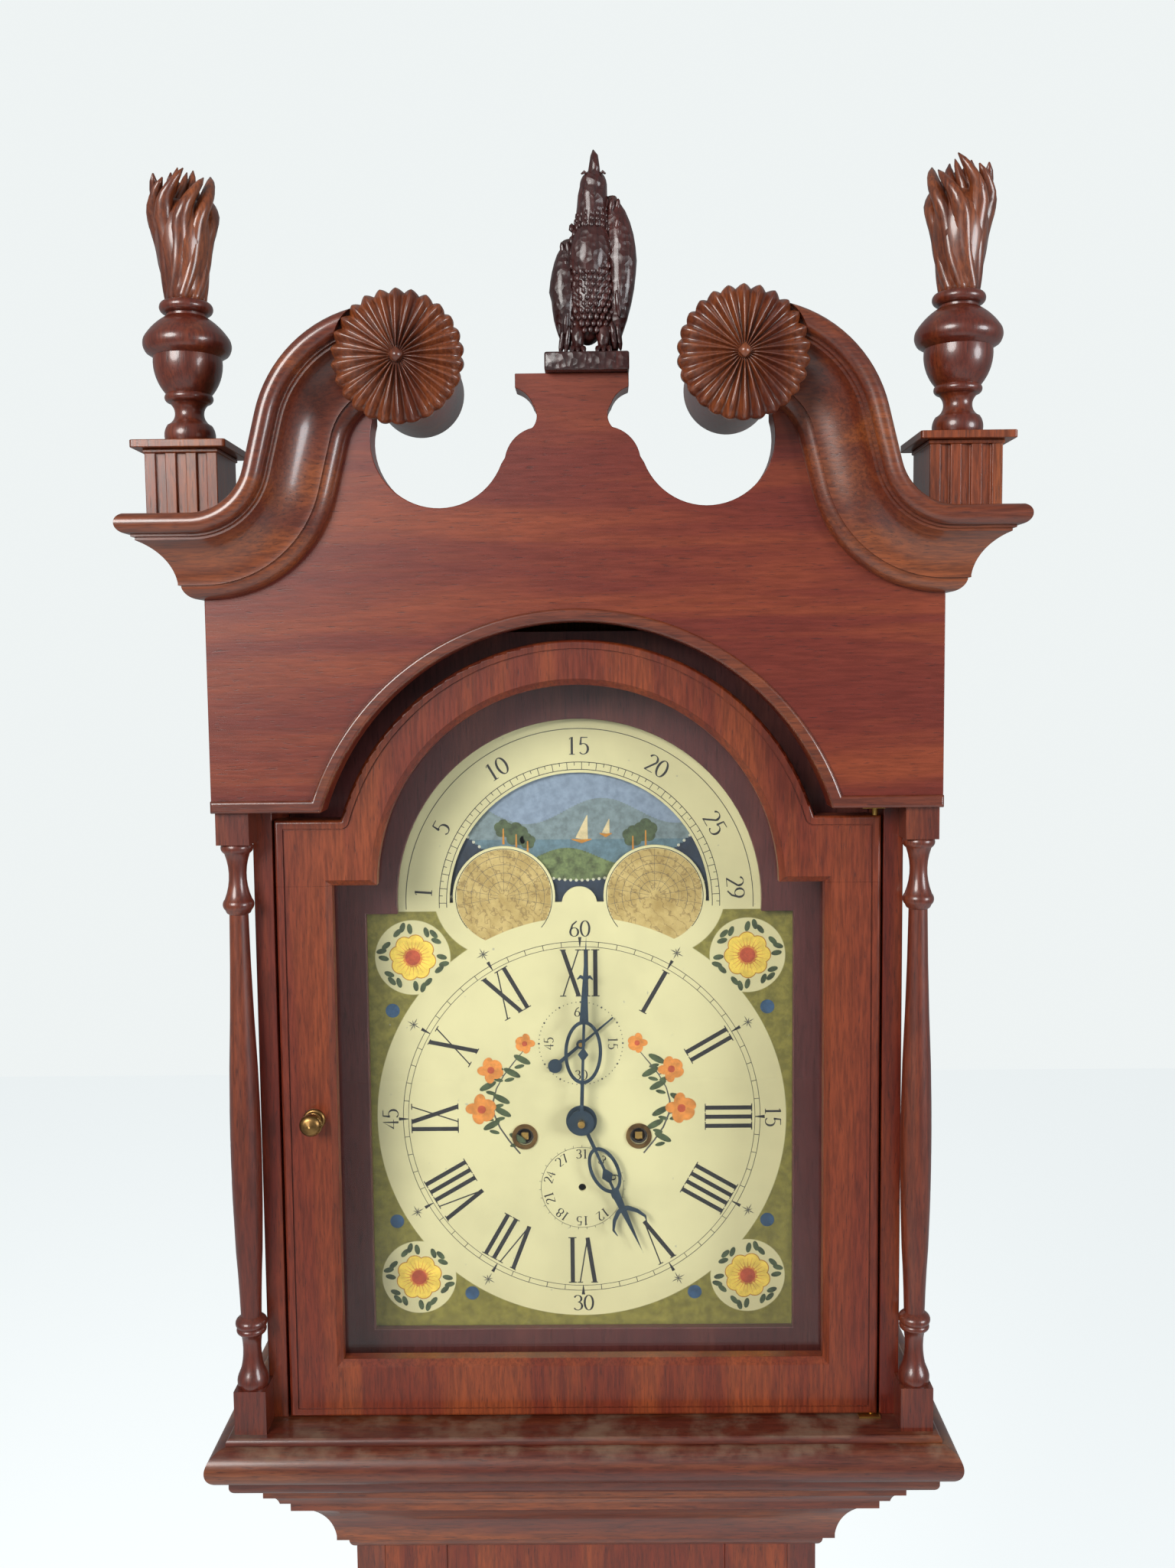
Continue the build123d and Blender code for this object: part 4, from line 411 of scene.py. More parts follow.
def build_finishes(settings):
    """Makes every material once."""
    build_wood_group()
    build_dust_group()
    build_metal_group()
    dark, middle, light = (tuple(c) + (1.0,) for c in
                           (settings.wood_dark, settings.wood_middle, settings.wood_light))
    FINISH.update({
        "board": wood("tympanum mahogany", "x", dark, middle, light, 0.30, 0.3, 0.05),
        "side": wood("side mahogany", "z", dark, middle, light, 0.45, 0.35, 0.05, (3, 2, 1)),
        "stile": wood("stile mahogany", "z", dark, srgb(112, 40, 18), srgb(138, 62, 26), 0.5, 0.35, 0.05,
                      (7, 1, 4)),
        "rail": wood("rail mahogany", "x", dark, srgb(108, 34, 16), light, 0.45, 0.35, 0.05, (2, 5, 3)),
        "moulding": wood("moulding mahogany", "x", dark, srgb(104, 42, 19), srgb(134, 66, 26),
                         0.55, 0.7, 0.08, (5, 5, 5)),
        "base": wood("hood base mahogany", "x", srgb(38, 12, 10), srgb(92, 38, 24), srgb(128, 68, 34),
                     0.5, 0.35, 0.35, (9, 2, 2)),
        "turned": wood("turned mahogany", "z", srgb(46, 14, 10), srgb(96, 34, 18), srgb(124, 56, 26),
                       0.55, 0.6, 0.08, (1, 8, 2)),
        "plinth": wood("plinth mahogany", "z", srgb(50, 20, 14), srgb(132, 60, 26), srgb(150, 78, 34),
                       0.6, 0.2, 0.25, (4, 4, 8)),
        "mask": wood("mask mahogany", "z", srgb(44, 16, 16), srgb(92, 44, 42), srgb(104, 54, 46),
                     0.4, 0.15, 0.0),
        "carved": wood("carved mahogany", "z", srgb(48, 16, 12), srgb(98, 42, 20), srgb(140, 72, 34),
                       0.65, 0.6, 0.10, (2, 2, 9)),
        "eagle": carved("eagle varnish", srgb(18, 6, 7), srgb(52, 18, 16), srgb(78, 28, 22)),
        "pine": wood("old pine", "z", srgb(96, 66, 38), srgb(150, 110, 68), srgb(176, 136, 88),
                     0.5, 0.0, 0.2),
        "glass": glass_material(),
        "dial": dial_paint(srgb(222, 215, 164), srgb(146, 138, 62)),
        "hump": hump_paint(),
        "ink": paint("black numerals", srgb(34, 34, 36), 0.1, 0.5),
        "fine": paint("fine grey lines", srgb(78, 78, 74), 0.1, 0.5),
        "yellow": paint("flower yellow", srgb(250, 214, 92), 0.10),
        "ochre": paint("petal outline", srgb(196, 132, 44), 0.12),
        "red": paint("flower red", srgb(190, 84, 54), 0.15),
        "leaf": paint("leaf green", srgb(74, 88, 58), 0.25),
        "blue": paint("blue dots", srgb(56, 88, 120), 0.2),
        "orange": paint("blossom orange", srgb(222, 142, 66), 0.15),
        "moon_ground": paint("moon ground", srgb(34, 48, 66), 0.2, 0.5),
        "sky": paint("painted sky", srgb(132, 148, 166), 0.10),
        "hill": paint("painted hill", srgb(104, 118, 74), 0.3),
        "far_hill": paint("far hill", srgb(120, 136, 138), 0.15),
        "water": paint("painted water", srgb(96, 122, 132), 0.15),
        "sail": paint("painted sail", srgb(214, 196, 150), 0.1),
        "dots": paint("dotted edge", srgb(206, 204, 180), 0.1),
        "brass": metal("polished brass", srgb(206, 166, 92), srgb(120, 88, 44), 0.35),
        "aged_brass": metal("aged brass", srgb(150, 116, 70), srgb(78, 54, 34), 0.8),
        "bell": metal("bell metal", srgb(196, 176, 128), srgb(120, 100, 66), 0.4),
        "steel": metal("bright steel", srgb(176, 178, 182), srgb(104, 102, 100), 0.4),
        "blued": metal("blued steel", srgb(62, 78, 92), srgb(40, 50, 60), 0.6, 0.6),
        "dark": paint("winding hole shadow", srgb(40, 34, 30), 0.2, 0.7),
        "gut": paint("gut line", srgb(176, 150, 100), 0.2, 0.6),
    })


# Flat painting on the dial

class Brush:
    """Strokes and shapes of one colour on a plane that faces the front; places are dial millimetres."""

    def __init__(self, name, finish, body, lift, y=DIAL_Y, slot="dial_paint"):
        self.bm = bmesh.new()
        self.name, self.finish, self.body, self.slot = name, finish, body, slot
        self.y = y - lift * MM
        self.shapes = 0

    def point(self, x, z):
        """A dial place as a 3-D point; each shape lies a hair in front of the last, so that none coincide."""
        return Vector((x * MM, self.y - 0.003 * MM * (self.shapes % 12), DIAL_Z + z * MM))

    def disc(self, x, z, radius, segments=32, wide=1.0, turn=0.0):
        """A filled circle or ellipse."""
        self.shapes += 1
        place = Matrix.Translation(self.point(x, z)) @ Matrix.Rotation(radians(-turn), 4, "Y")
        place = place @ Matrix.Scale(wide, 4, (1, 0, 0)) @ Matrix.Rotation(radians(90), 4, "X")
        bmesh.ops.create_circle(self.bm, cap_ends=True, segments=segments, radius=radius * MM, matrix=place)

    def ring(self, x, z, radius, width, start=0.0, end=360.0, steps=96):
        """A line along a circle, degrees clockwise from the top."""
        self.stroke(arc(x, z, radius, radius, start, end, steps), [width] * (steps + 1))

    def tick(self, x, z, angle, inner, outer, widths):
        """A line away from a centre, between two radii."""
        self.stroke([around(x, z, inner, angle), around(x, z, outer, angle)], widths)

    def stroke(self, points, widths):
        """A ribbon through points, with a width at each."""
        self.shapes += 1
        last = len(points) - 1
        is_loop = points[0] == points[-1]
        old = None
        for i, (x, z) in enumerate(points):
            at_end = i in (0, last)
            ax, az = points[-2] if is_loop and at_end else points[max(i - 1, 0)]
            bx, bz = points[1] if is_loop and at_end else points[min(i + 1, last)]
            long = hypot(bx - ax, bz - az) or 1.0
            nx, nz = -(bz - az) / long, (bx - ax) / long
            half = widths[i] / 2
            ends = (self.point(x + nx * half, z + nz * half), self.point(x - nx * half, z - nz * half))
            if old is None:
                pair = [self.bm.verts.new(p) for p in ends]
                edge = self.bm.edges.new(pair)
            else:
                made = bmesh.ops.extrude_edge_only(self.bm, edges=[old[0]])["geom"]
                edge = next(g for g in made if isinstance(g, bmesh.types.BMEdge))
                fresh = [g for g in made if isinstance(g, bmesh.types.BMVert)]
                first = min(fresh, key=lambda v: (v.co - old[1][0]).length)
                pair = [first, fresh[0] if fresh[1] is first else fresh[1]]
                for vert, place in zip(pair, ends):
                    vert.co = place
            old = (edge, [v.co.copy() for v in pair])

    def column(self, place, u, low, high, wide=2.1):
        """An upright strip of a picture, if it has any height."""
        if high > low:
            self.stroke([place(u, low), place(u, high)], (wide, wide))

    def done(self, thick=0.0):
        """Makes the object, all faces to the front; thick is its depth towards the back."""
        bmesh.ops.remove_doubles(self.bm, verts=self.bm.verts, dist=1e-7)
        self.bm.normal_update()
        bmesh.ops.reverse_faces(self.bm, faces=[f for f in self.bm.faces if f.normal.y > 0])
        obj = finish_mesh(self.bm, self.name, self.body, [FINISH[self.finish]], flat=True)
        if thick:
            shell = obj.modifiers.new("metal thickness", "SOLIDIFY")
            shell.thickness = thick * MM
            shell.offset = -1
        return obj


def arc(x, z, rx, rz, start, end, steps=10):
    """Points on an ellipse, degrees clockwise from the top."""
    turns = [radians(start + (end - start) * i / steps) for i in range(steps + 1)]
    return [(x + rx * sin(t), z + rz * cos(t)) for t in turns]


DIGITS = {
    "0": [arc(0.3, 0.5, 0.26, 0.48, 0, 360, 20)],
    "1": [[(0.16, 0.86), (0.3, 0.98), (0.3, 0.02)], [(0.14, 0.02), (0.46, 0.02)]],
    "2": [arc(0.3, 0.72, 0.24, 0.26, -70, 110, 10) + [(0.10, 0.04)], [(0.06, 0.04), (0.56, 0.04)]],
    "3": [arc(0.28, 0.75, 0.22, 0.22, -70, 170, 10), arc(0.28, 0.28, 0.26, 0.26, 0, 240, 12)],
    "4": [[(0.42, 0.02), (0.42, 0.96), (0.04, 0.32), (0.58, 0.32)]],
    "5": [[(0.52, 0.96), (0.16, 0.96), (0.12, 0.54)], arc(0.28, 0.32, 0.26, 0.30, -40, 230, 12)],
    "6": [[(0.46, 0.96), (0.2, 0.74), (0.06, 0.34)], arc(0.3, 0.29, 0.24, 0.27, 0, 360, 16)],
    "7": [[(0.06, 0.94), (0.56, 0.94), (0.22, 0.02)]],
    "8": [arc(0.3, 0.74, 0.19, 0.22, 0, 360, 16), arc(0.3, 0.27, 0.25, 0.26, 0, 360, 16)],
    "9": [[(0.14, 0.04), (0.4, 0.26), (0.54, 0.66)], arc(0.3, 0.71, 0.24, 0.27, 0, 360, 16)],
}


def write_number(brush, text, x, z, high, turn, thick=0.13):
    """Old-style digits centred on a place; turn is degrees clockwise."""
    pitch, gap = 0.66, 0.06
    total = pitch * len(text) - gap
    c, s = cos(radians(turn)), sin(radians(turn))
    for index, digit in enumerate(text):
        shift = index * pitch - total / 2
        for line in DIGITS[digit]:
            points, widths = [], []
            for i, (u, v) in enumerate(line):
                u2, v2 = (u + shift) * high, (v - 0.5) * high
                points.append((x + c * u2 + s * v2, z - s * u2 + c * v2))
                a, b = line[max(i - 1, 0)], line[min(i + 1, len(line) - 1)]
                steep = abs(b[1] - a[1]) / (hypot(b[0] - a[0], b[1] - a[1]) or 1)
                widths.append(high * thick * (0.32 + 0.68 * steep ** 2))
            brush.stroke(points, widths)


def write_around(brush, labels, z, radius, high, thick=0.13, upright=()):
    """Numbers on a circle, each with its head outward, save those at the upright angles."""
    for text, angle in labels:
        place = around(0, z, radius, angle)
        write_number(brush, text, *place, high, 0 if angle in upright else angle, thick)


QUARTERS = (("60", 0), ("15", 90), ("30", 180), ("45", 270))
ROMAN = ("XII", "I", "II", "III", "IIII", "V", "VI", "VII", "VIII", "IX", "X", "XI")
LETTER_WIDTHS = {"I": 6.6, "V": 15.0, "X": 15.0}


def write_roman(brush, text, angle, inner, outer):
    """A radial Roman numeral with its feet to the centre."""
    stem, hair, serif = 3.0, 0.9, 0.7
    place = -sum(LETTER_WIDTHS[c] for c in text) / 2
    c, s = cos(radians(angle)), sin(radians(angle))

    def bar(u0, v0, u1, v1, thick):
        ends = [(u * c + v * s, CENTRE - u * s + v * c) for u, v in ((u0, v0), (u1, v1))]
        brush.stroke(ends, [thick, thick])

    for letter in text:
        wide = LETTER_WIDTHS[letter]
        left, right, middle = place + 1.4, place + wide - 1.4, place + wide / 2
        if letter == "I":
            bar(middle, inner, middle, outer, stem)
            for v in (inner, outer):
                bar(middle - 2.9, v, middle + 2.9, v, serif)
        elif letter == "V":
            bar(left + 1, outer, middle, inner, stem)
            bar(right - 0.6, outer, middle, inner, hair)
            bar(left - 1.2, outer, left + 3.6, outer, serif)
            bar(right - 2.6, outer, right + 1.2, outer, serif)
        else:
            bar(left + 0.6, outer, right - 0.6, inner, stem)
            bar(right - 0.6, outer, left + 0.6, inner, hair)
            for u in (left + 0.6, right - 0.6):
                for v in (inner, outer):
                    bar(u - 2.2, v, u + 2.2, v, serif)
        place += wide


# Shapes for carving

def edges_of(made):
    """The set of edges round the vertices that a bmesh call made."""
    return {e for v in made["verts"] for e in v.link_edges}


def bridge(bm, rings):
    """Joins rings of edges into a skin and closes both ends."""
    for low, high in zip(rings, rings[1:]):
        bmesh.ops.bridge_loops(bm, edges=list(low | high))
    bmesh.ops.holes_fill(bm, edges=list(rings[0] | rings[-1]), sides=0)


def tube(bm, points, radii, segments=10, flat=(1.0, 1.0)):
    """A closed round or flattened tube along points."""
    rings = []
    last = len(points) - 1
    for i, place in enumerate(points):
        before, after = Vector(points[max(i - 1, 0)]), Vector(points[min(i + 1, last)])
        turn = (after - before).to_track_quat("Z", "Y").to_matrix().to_4x4()
        size = Matrix.Diagonal((radii[i] * flat[0] * MM, radii[i] * flat[1] * MM, 1, 1))
        matrix = Matrix.Translation(Vector(place) * MM) @ turn @ size
        made = bmesh.ops.create_circle(bm, cap_ends=False, segments=segments, radius=1.0, matrix=matrix)
        rings.append(edges_of(made))
    bridge(bm, rings)


def blob(bm, centre, radii, turn=(0, 0, 0), detail=2):
    """An ellipsoid; millimetres and degrees."""
    place = Matrix.Translation(Vector(centre) * MM)
    for axis, angle in zip("XYZ", turn):
        place = place @ Matrix.Rotation(radians(angle), 4, axis)
    place = place @ Matrix.Diagonal((radii[0] * MM, radii[1] * MM, radii[2] * MM, 1))
    bmesh.ops.create_icosphere(bm, subdivisions=detail, radius=1.0, matrix=place)


def closed(bm):
    """Merges doubles and turns the faces outward."""
    bmesh.ops.remove_doubles(bm, verts=bm.verts, dist=1e-7)
    bmesh.ops.recalc_face_normals(bm, faces=bm.faces)


def build_flame(side, licks):
    """One finial's flame: twisted licks around a core, open at the top."""
    bm = bmesh.new()
    x, y, bottom, top = side * 246, -75.7, 2303, 2386
    drops = (0, 6, 2, 8, 3, 6, 1, 7)  # how far each tip stays below the top
    for ring, (reach, thick, extra) in enumerate(((1.0, 1.0, 0), (0.42, 0.85, 1))):
        for k in range(licks):
            high = top - 1.5 + extra - drops[(k + 3 * ring) % 8] * (1 - 0.6 * ring)
            path, radii = [], []
            for i in range(21):
                t = i / 20
                twist = side * (1.9 * t + 0.25 * sin(6.3 * t))
                angle = 2 * pi * (k + 0.5 * ring) / licks - twist
                spread = reach * (8.0 + 9.5 * min(1.0, 1.3 * t) ** 1.4)
                path.append((x + spread * cos(angle), y + spread * sin(angle), bottom + (high - bottom) * t))
                taper = (1 - max(0.0, t - 0.66) / 0.34) ** 0.5
                radii.append(thick * max(0.5, 6.4 * min(1.0, 0.80 + 0.6 * t) * taper))
            tube(bm, path, radii, 12, (1.0, 0.8))
    core = [12, 12.5, 14, 16, 17.5, 18, 17, 13, 6]
    tube(bm, [(x, y, bottom + 8.6 * i) for i in range(9)], core, 24)
    closed(bm)
    return bm


def build_rosette(side, petals):
    """A round disc of narrow petals with a small square boss."""
    bm = bmesh.new()
    x, z = side * 103 * MM, 2255 * MM
    rim = 39.7
    profile = ((4.0, 0.0), (6.5, 1.4), (12, 2.6), (20, 2.4), (28, 1.8), (34, 1.0), (38, -0.6), (39.6, -3.0),
               (39.8, -8.0))
    rings = []
    face = Matrix.Translation((x, -143.0 * MM, z)) @ Matrix.Rotation(radians(90), 4, "X")
    for radius, rise in profile:
        made = bmesh.ops.create_circle(bm, cap_ends=False, segments=petals * 8, radius=radius * MM,
                                       matrix=face)
        for vert in made["verts"]:
            angle = atan2(vert.co.z - z, vert.co.x - x)
            groove = abs((angle * petals / (2 * pi)) % 1.0 - 0.5) * 2
            depth = 5.0 * groove * min(1.0, radius / 13) if radius < rim else 0.0
            vert.co.y -= (rise - depth) * MM
            if radius > 30:
                shrink = 1 - 0.05 * groove ** 2
                vert.co.x = x + (vert.co.x - x) * shrink
                vert.co.z = z + (vert.co.z - z) * shrink
        rings.append(edges_of(made))
    bridge(bm, rings)
    boss = Matrix.Translation((x, -144.2 * MM, z)) @ Matrix.Rotation(radians(45), 4, "Y")
    bmesh.ops.create_cube(bm, size=1.0, matrix=boss @ Matrix.Diagonal((0.0062, 0.0040, 0.0062, 1)))
    closed(bm)
    return bm


def build_eagle():
    """A small carved bird that looks up, wings half folded, on its block."""
    bm = bmesh.new()
    y = -86.5
    blob(bm, (12, y, 2306), (15, 14, 34), (0, 4, 0), 4)
    blob(bm, (12, y - 4, 2326), (13.5, 12, 22), (0, 6, 0), 4)
    tube(bm, [(12, y, 2330), (13, y - 1, 2342), (13.5, y - 2, 2352), (14, y - 3, 2362), (15, y - 4, 2370)],
         [12, 11, 9.8, 9.2, 8.2], 20)
    blob(bm, (14.5, y - 4, 2368), (8.4, 9.5, 9.4), (0, 12, 0), 4)
    tube(bm, [(14.8, y - 7, 2371), (15.2, y - 9, 2378), (15.2, y - 10, 2384), (14.6, y - 8.5, 2388)],
         [5.4, 4.2, 2.6, 0.5], 14, (0.8, 1.0))
    for x in (9.0, 20.4):
        blob(bm, (x, y - 8, 2370), (1.6, 1.6, 1.6), (0, 0, 0), 2)
        brow = [(x - 1.8, y - 9.5, 2373.4), (x, y - 10.2, 2374.4), (x + 1.8, y - 9.5, 2373.4)]
        tube(bm, brow, [0.6, 1.1, 0.6], 6)
    wings = ((25, 2362, 38.5, 2323, 25.7, 2268, 1), (-2, 2336, -11, 2304, -3.5, 2270, -1))
    for top_x, top_z, wide_x, wide_z, low_x, low_z, side in wings:
        path, radii = [], []
        for i in range(13):
            t = i / 12
            px = (1 - t) ** 2 * top_x + 2 * t * (1 - t) * (2 * wide_x - (top_x + low_x) / 2) + t * t * low_x
            pz = (1 - t) ** 2 * top_z + 2 * t * (1 - t) * (2 * wide_z - (top_z + low_z) / 2) + t * t * low_z
            path.append((px - side * 7.5 * sin(pi * t) ** 0.6, y + 1 - 3 * sin(pi * t), pz))
            radii.append(1.6 + 7.4 * sin(pi * min(1.0, t * 0.92 + 0.05)) ** 0.7)
        tube(bm, path, radii, 14, (1.0, 1.15))
        for row in range(9):
            t = 0.12 + row * 0.095
            px, py, pz = path[min(12, int(round(t * 12)))]
            for column in range(3):
                lean = side * (column - 1) * 3.4
                long = 5.5 if row < 4 else 9.0
                blob(bm, (px + lean, py - 7.0 + abs(lean) * 0.6, pz - 2), (1.9, 1.5, long),
                     (6, side * (10 - 9 * row / 4), 0), 2)
    for row in range(17):
        for column in range(-3, 4):
            px = 12 + column * 3.7 + (1.85 if row % 2 else 0.0)
            reach = 1 - ((px - 12) / 15.5) ** 2
            if reach > 0.12:
                pz = 2342 - row * 3.9
                bulge = 1 - ((pz - 2310) / 46) ** 2
                blob(bm, (px, y - 13.4 * max(0.0, reach * bulge) ** 0.5, pz), (2.1, 1.1, 3.2), (-10, 0, 0), 1)
    for row in range(6):
        for column in range(9):
            angle = radians(-84 + column * 21)
            wide = 10.4 - 0.55 * row
            blob(bm, (13 + 0.3 * row + wide * sin(angle), y - 2 - wide * cos(angle), 2343 + row * 3.6),
                 (1.6, 0.9, 2.6), (-8, 0, 0), 1)
    for side in (-1, 1):
        tube(bm, [(12 + side * 7, y - 4, 2284), (12 + side * 8, y - 7, 2274), (12 + side * 8, y - 8, 2265)],
             [6, 4, 3], 12)
        for toe in (-1, 0, 1):
            tube(bm, [(12 + side * 8 + toe * 1.5, y - 8, 2266), (12 + side * 8 + toe * 3.6, y - 14, 2267),
                      (12 + side * 8 + toe * 4.2, y - 17, 2263.6)], [2.2, 1.8, 0.7], 8)
    block = Matrix.Translation((0.0095, -0.0865, 2.2586))
    made = bmesh.ops.create_cube(bm, size=1.0, matrix=block @ Matrix.Diagonal((0.0525, 0.0400, 0.0114, 1)))
    bmesh.ops.bevel(bm, geom=list(edges_of(made)), offset=0.0012, segments=2, profile=0.5, affect="EDGES",
                    material=-1)
    closed(bm)
    return bm


def flower(yellow, ochre, orange, red, leaf, x, z, turn):
    """A painted roundel: one open flower with leaves."""
    for k in range(6):
        for off in (-13, 0, 13):
            angle = turn + k * 60 + 30 + off
            leaf.disc(*around(x, z, 20.5 if off else 22.5, angle), 1.9, 12, 2.0, angle + 90 + off)
    for k in range(8):
        angle = turn + k * 45
        place = around(x, z, 10.4, angle)
        ochre.disc(*place, 6.3, 20)
        yellow.disc(*place, 5.7, 20)
        for off in (-14, 0, 14):
            orange.tick(x, z, angle + off, 6, 13.0, [0.55, 0.1])
    for k in range(12):
        orange.disc(*around(x, z, 5.6, k * 30 + 10), 1.5, 10)
    red.disc(x, z, 5.4, 24)


def spray(stem, leaf, blossom, heart, side, z):
    """A bending stem with three orange blossoms and narrow leaves, beside the seconds dial."""
    path = [(side * (44 + 19 * sin(t * 0.42)), z - 34 + 9.5 * t) for t in range(9)]
    stem.stroke(path, [1.1] * 5 + [0.8] * 3 + [0.4])
    for t in range(1, 8):
        px, pz = path[t]
        for way in (-1, 1):
            if (t + way) % 3 != 0:
                leaf.disc(px + way * 6.0, pz + 2.0, 2.3, 14, 2.9, -way * 28)
                leaf.disc(px + way * 4.0, pz - 3.0, 1.4, 14, 2.6, way * 14)
    for t, size in ((3, 10.0), (6, 8.5), (8, 6.5)):
        px, pz = path[t]
        px += side * (9 if t != 8 else 0)
        stem.stroke([path[t], (px, pz + 3)], [0.8, 0.5])
        for k in range(5):
            angle = k * 72 + 20 * t
            place = around(px, pz + 4, size * 0.62, angle)
            blossom.disc(*place, size * 0.40, 14, 1.35, angle + 90)
        heart.disc(px, pz + 4, size * 0.30, 12)


# Settings, operators and panel

class ClockSettings(bpy.types.PropertyGroup):
    """Colours and sizes of the finish."""

    wood_dark: bpy.props.FloatVectorProperty(
        name="Dark wood", description="Pores and dark streaks of the mahogany", subtype="COLOR",
        default=srgb(44, 11, 7)[:3], min=0, max=1)
    wood_middle: bpy.props.FloatVectorProperty(
        name="Wood", description="Body colour of the mahogany", subtype="COLOR",
        default=srgb(104, 30, 14)[:3], min=0, max=1)
    wood_light: bpy.props.FloatVectorProperty(
        name="Light wood", description="Lighter patches of the mahogany", subtype="COLOR",
        default=srgb(130, 54, 22)[:3], min=0, max=1)
    rounding: bpy.props.FloatProperty(
        name="Worn edge", description="Radius on the edges of the woodwork", subtype="DISTANCE",
        unit="LENGTH", default=0.0006, min=0, max=0.002)
    petals: bpy.props.IntProperty(
        name="Rosette petals", description="Petals in each rosette", default=26, min=8, max=40)
    licks: bpy.props.IntProperty(
        name="Flame licks", description="Tongues in each carved flame", default=8, min=4, max=10)


class CLOCK_OT_case(bpy.types.Operator):
    """Feet, base, waist and its door"""

    bl_idname = "clock.case"
    bl_label = "Build the case"

    def execute(self, context):
        worn = context.scene.clock_settings.rounding
        dress_all("mahogany", "rail", "bracket_feet", rounding=worn)
        dress_all("mahogany", "side", "base_boards", "waist_sides", rounding=worn)
        dress_all("mahogany", "stile", "waist_frame", "waist_door_panel", rounding=worn)
        dress_all("mahogany_dark", "moulding", "base_lower_moulding", "base_upper_moulding",
                  "throat_moulding")
        dress_all("mahogany_dark", "turned", "quarter_columns")
        dress_all("pine", "pine", "backboard", "seatboard")
        dress_all("brass", "brass", "waist_hinge_frame_leaves", "waist_hinge_door_leaves")
        dress_all("brass_aged", "aged_brass", "lock_and_escutcheon")
        return {"FINISHED"}


class CLOCK_OT_hood(bpy.types.Operator):
    """Hood, its door and its glass"""

    bl_idname = "clock.hood"
    bl_label = "Build the hood"

    def execute(self, context):
        worn = context.scene.clock_settings.rounding
        dress_all("mahogany_dark", "base", "hood_base_moulding")
        dress_all("mahogany", "side", "hood_sides", rounding=worn)
        dress_all("mahogany", "board", "tympanum", rounding=worn)
        dress_all("mahogany_dark", "moulding", "arch_strip", rounding=worn)
        dress_all("mahogany_dark", "moulding", "swan_necks", "cornice_returns")
        dress_all("mahogany", "side", "rosette_barrels")
        dress_all("mahogany", "plinth", "corner_plinths", rounding=worn)
        dress_all("mahogany_dark", "turned", "urns", "hood_columns", sharp=40)
        dress_all("mahogany", "mask", "dial_mask", rounding=worn)
        dress_all("mahogany", "stile", "hood_door_frame", rounding=worn)
        dress_all("brass", "brass", "hood_door_pivots")
        dress_all("glass", "glass", "hood_door_glass")
        dress_all("brass_aged", "aged_brass", "hood_door_knob", sharp=40)
        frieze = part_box("hood_top_boards")[1].x - 0.0005
        dress("hood_top_boards", [FINISH["pine"], FINISH["side"]],
              pick=lambda face: int(abs(face.calc_center_median().x) > frieze))
        return {"FINISHED"}


class CLOCK_OT_carving(bpy.types.Operator):
    """Rosettes, flames and bird"""

    bl_idname = "clock.carving"
    bl_label = "Carve the ornament"

    def execute(self, context):
        settings = context.scene.clock_settings
        carving = [FINISH["carved"]]
        for side, name in ((-1, "left"), (1, "right")):
            rosette = build_rosette(side, settings.petals)
            finish_mesh(rosette, "rosette_" + name, "hood", carving, ("rosettes",))
            flame = build_flame(side, settings.licks)
            finish_mesh(flame, "flame_" + name, "hood", carving, ("flames",))
        finish_mesh(build_eagle(), "carved_bird", "hood", [FINISH["eagle"]], ("eagle",))
        return {"FINISHED"}


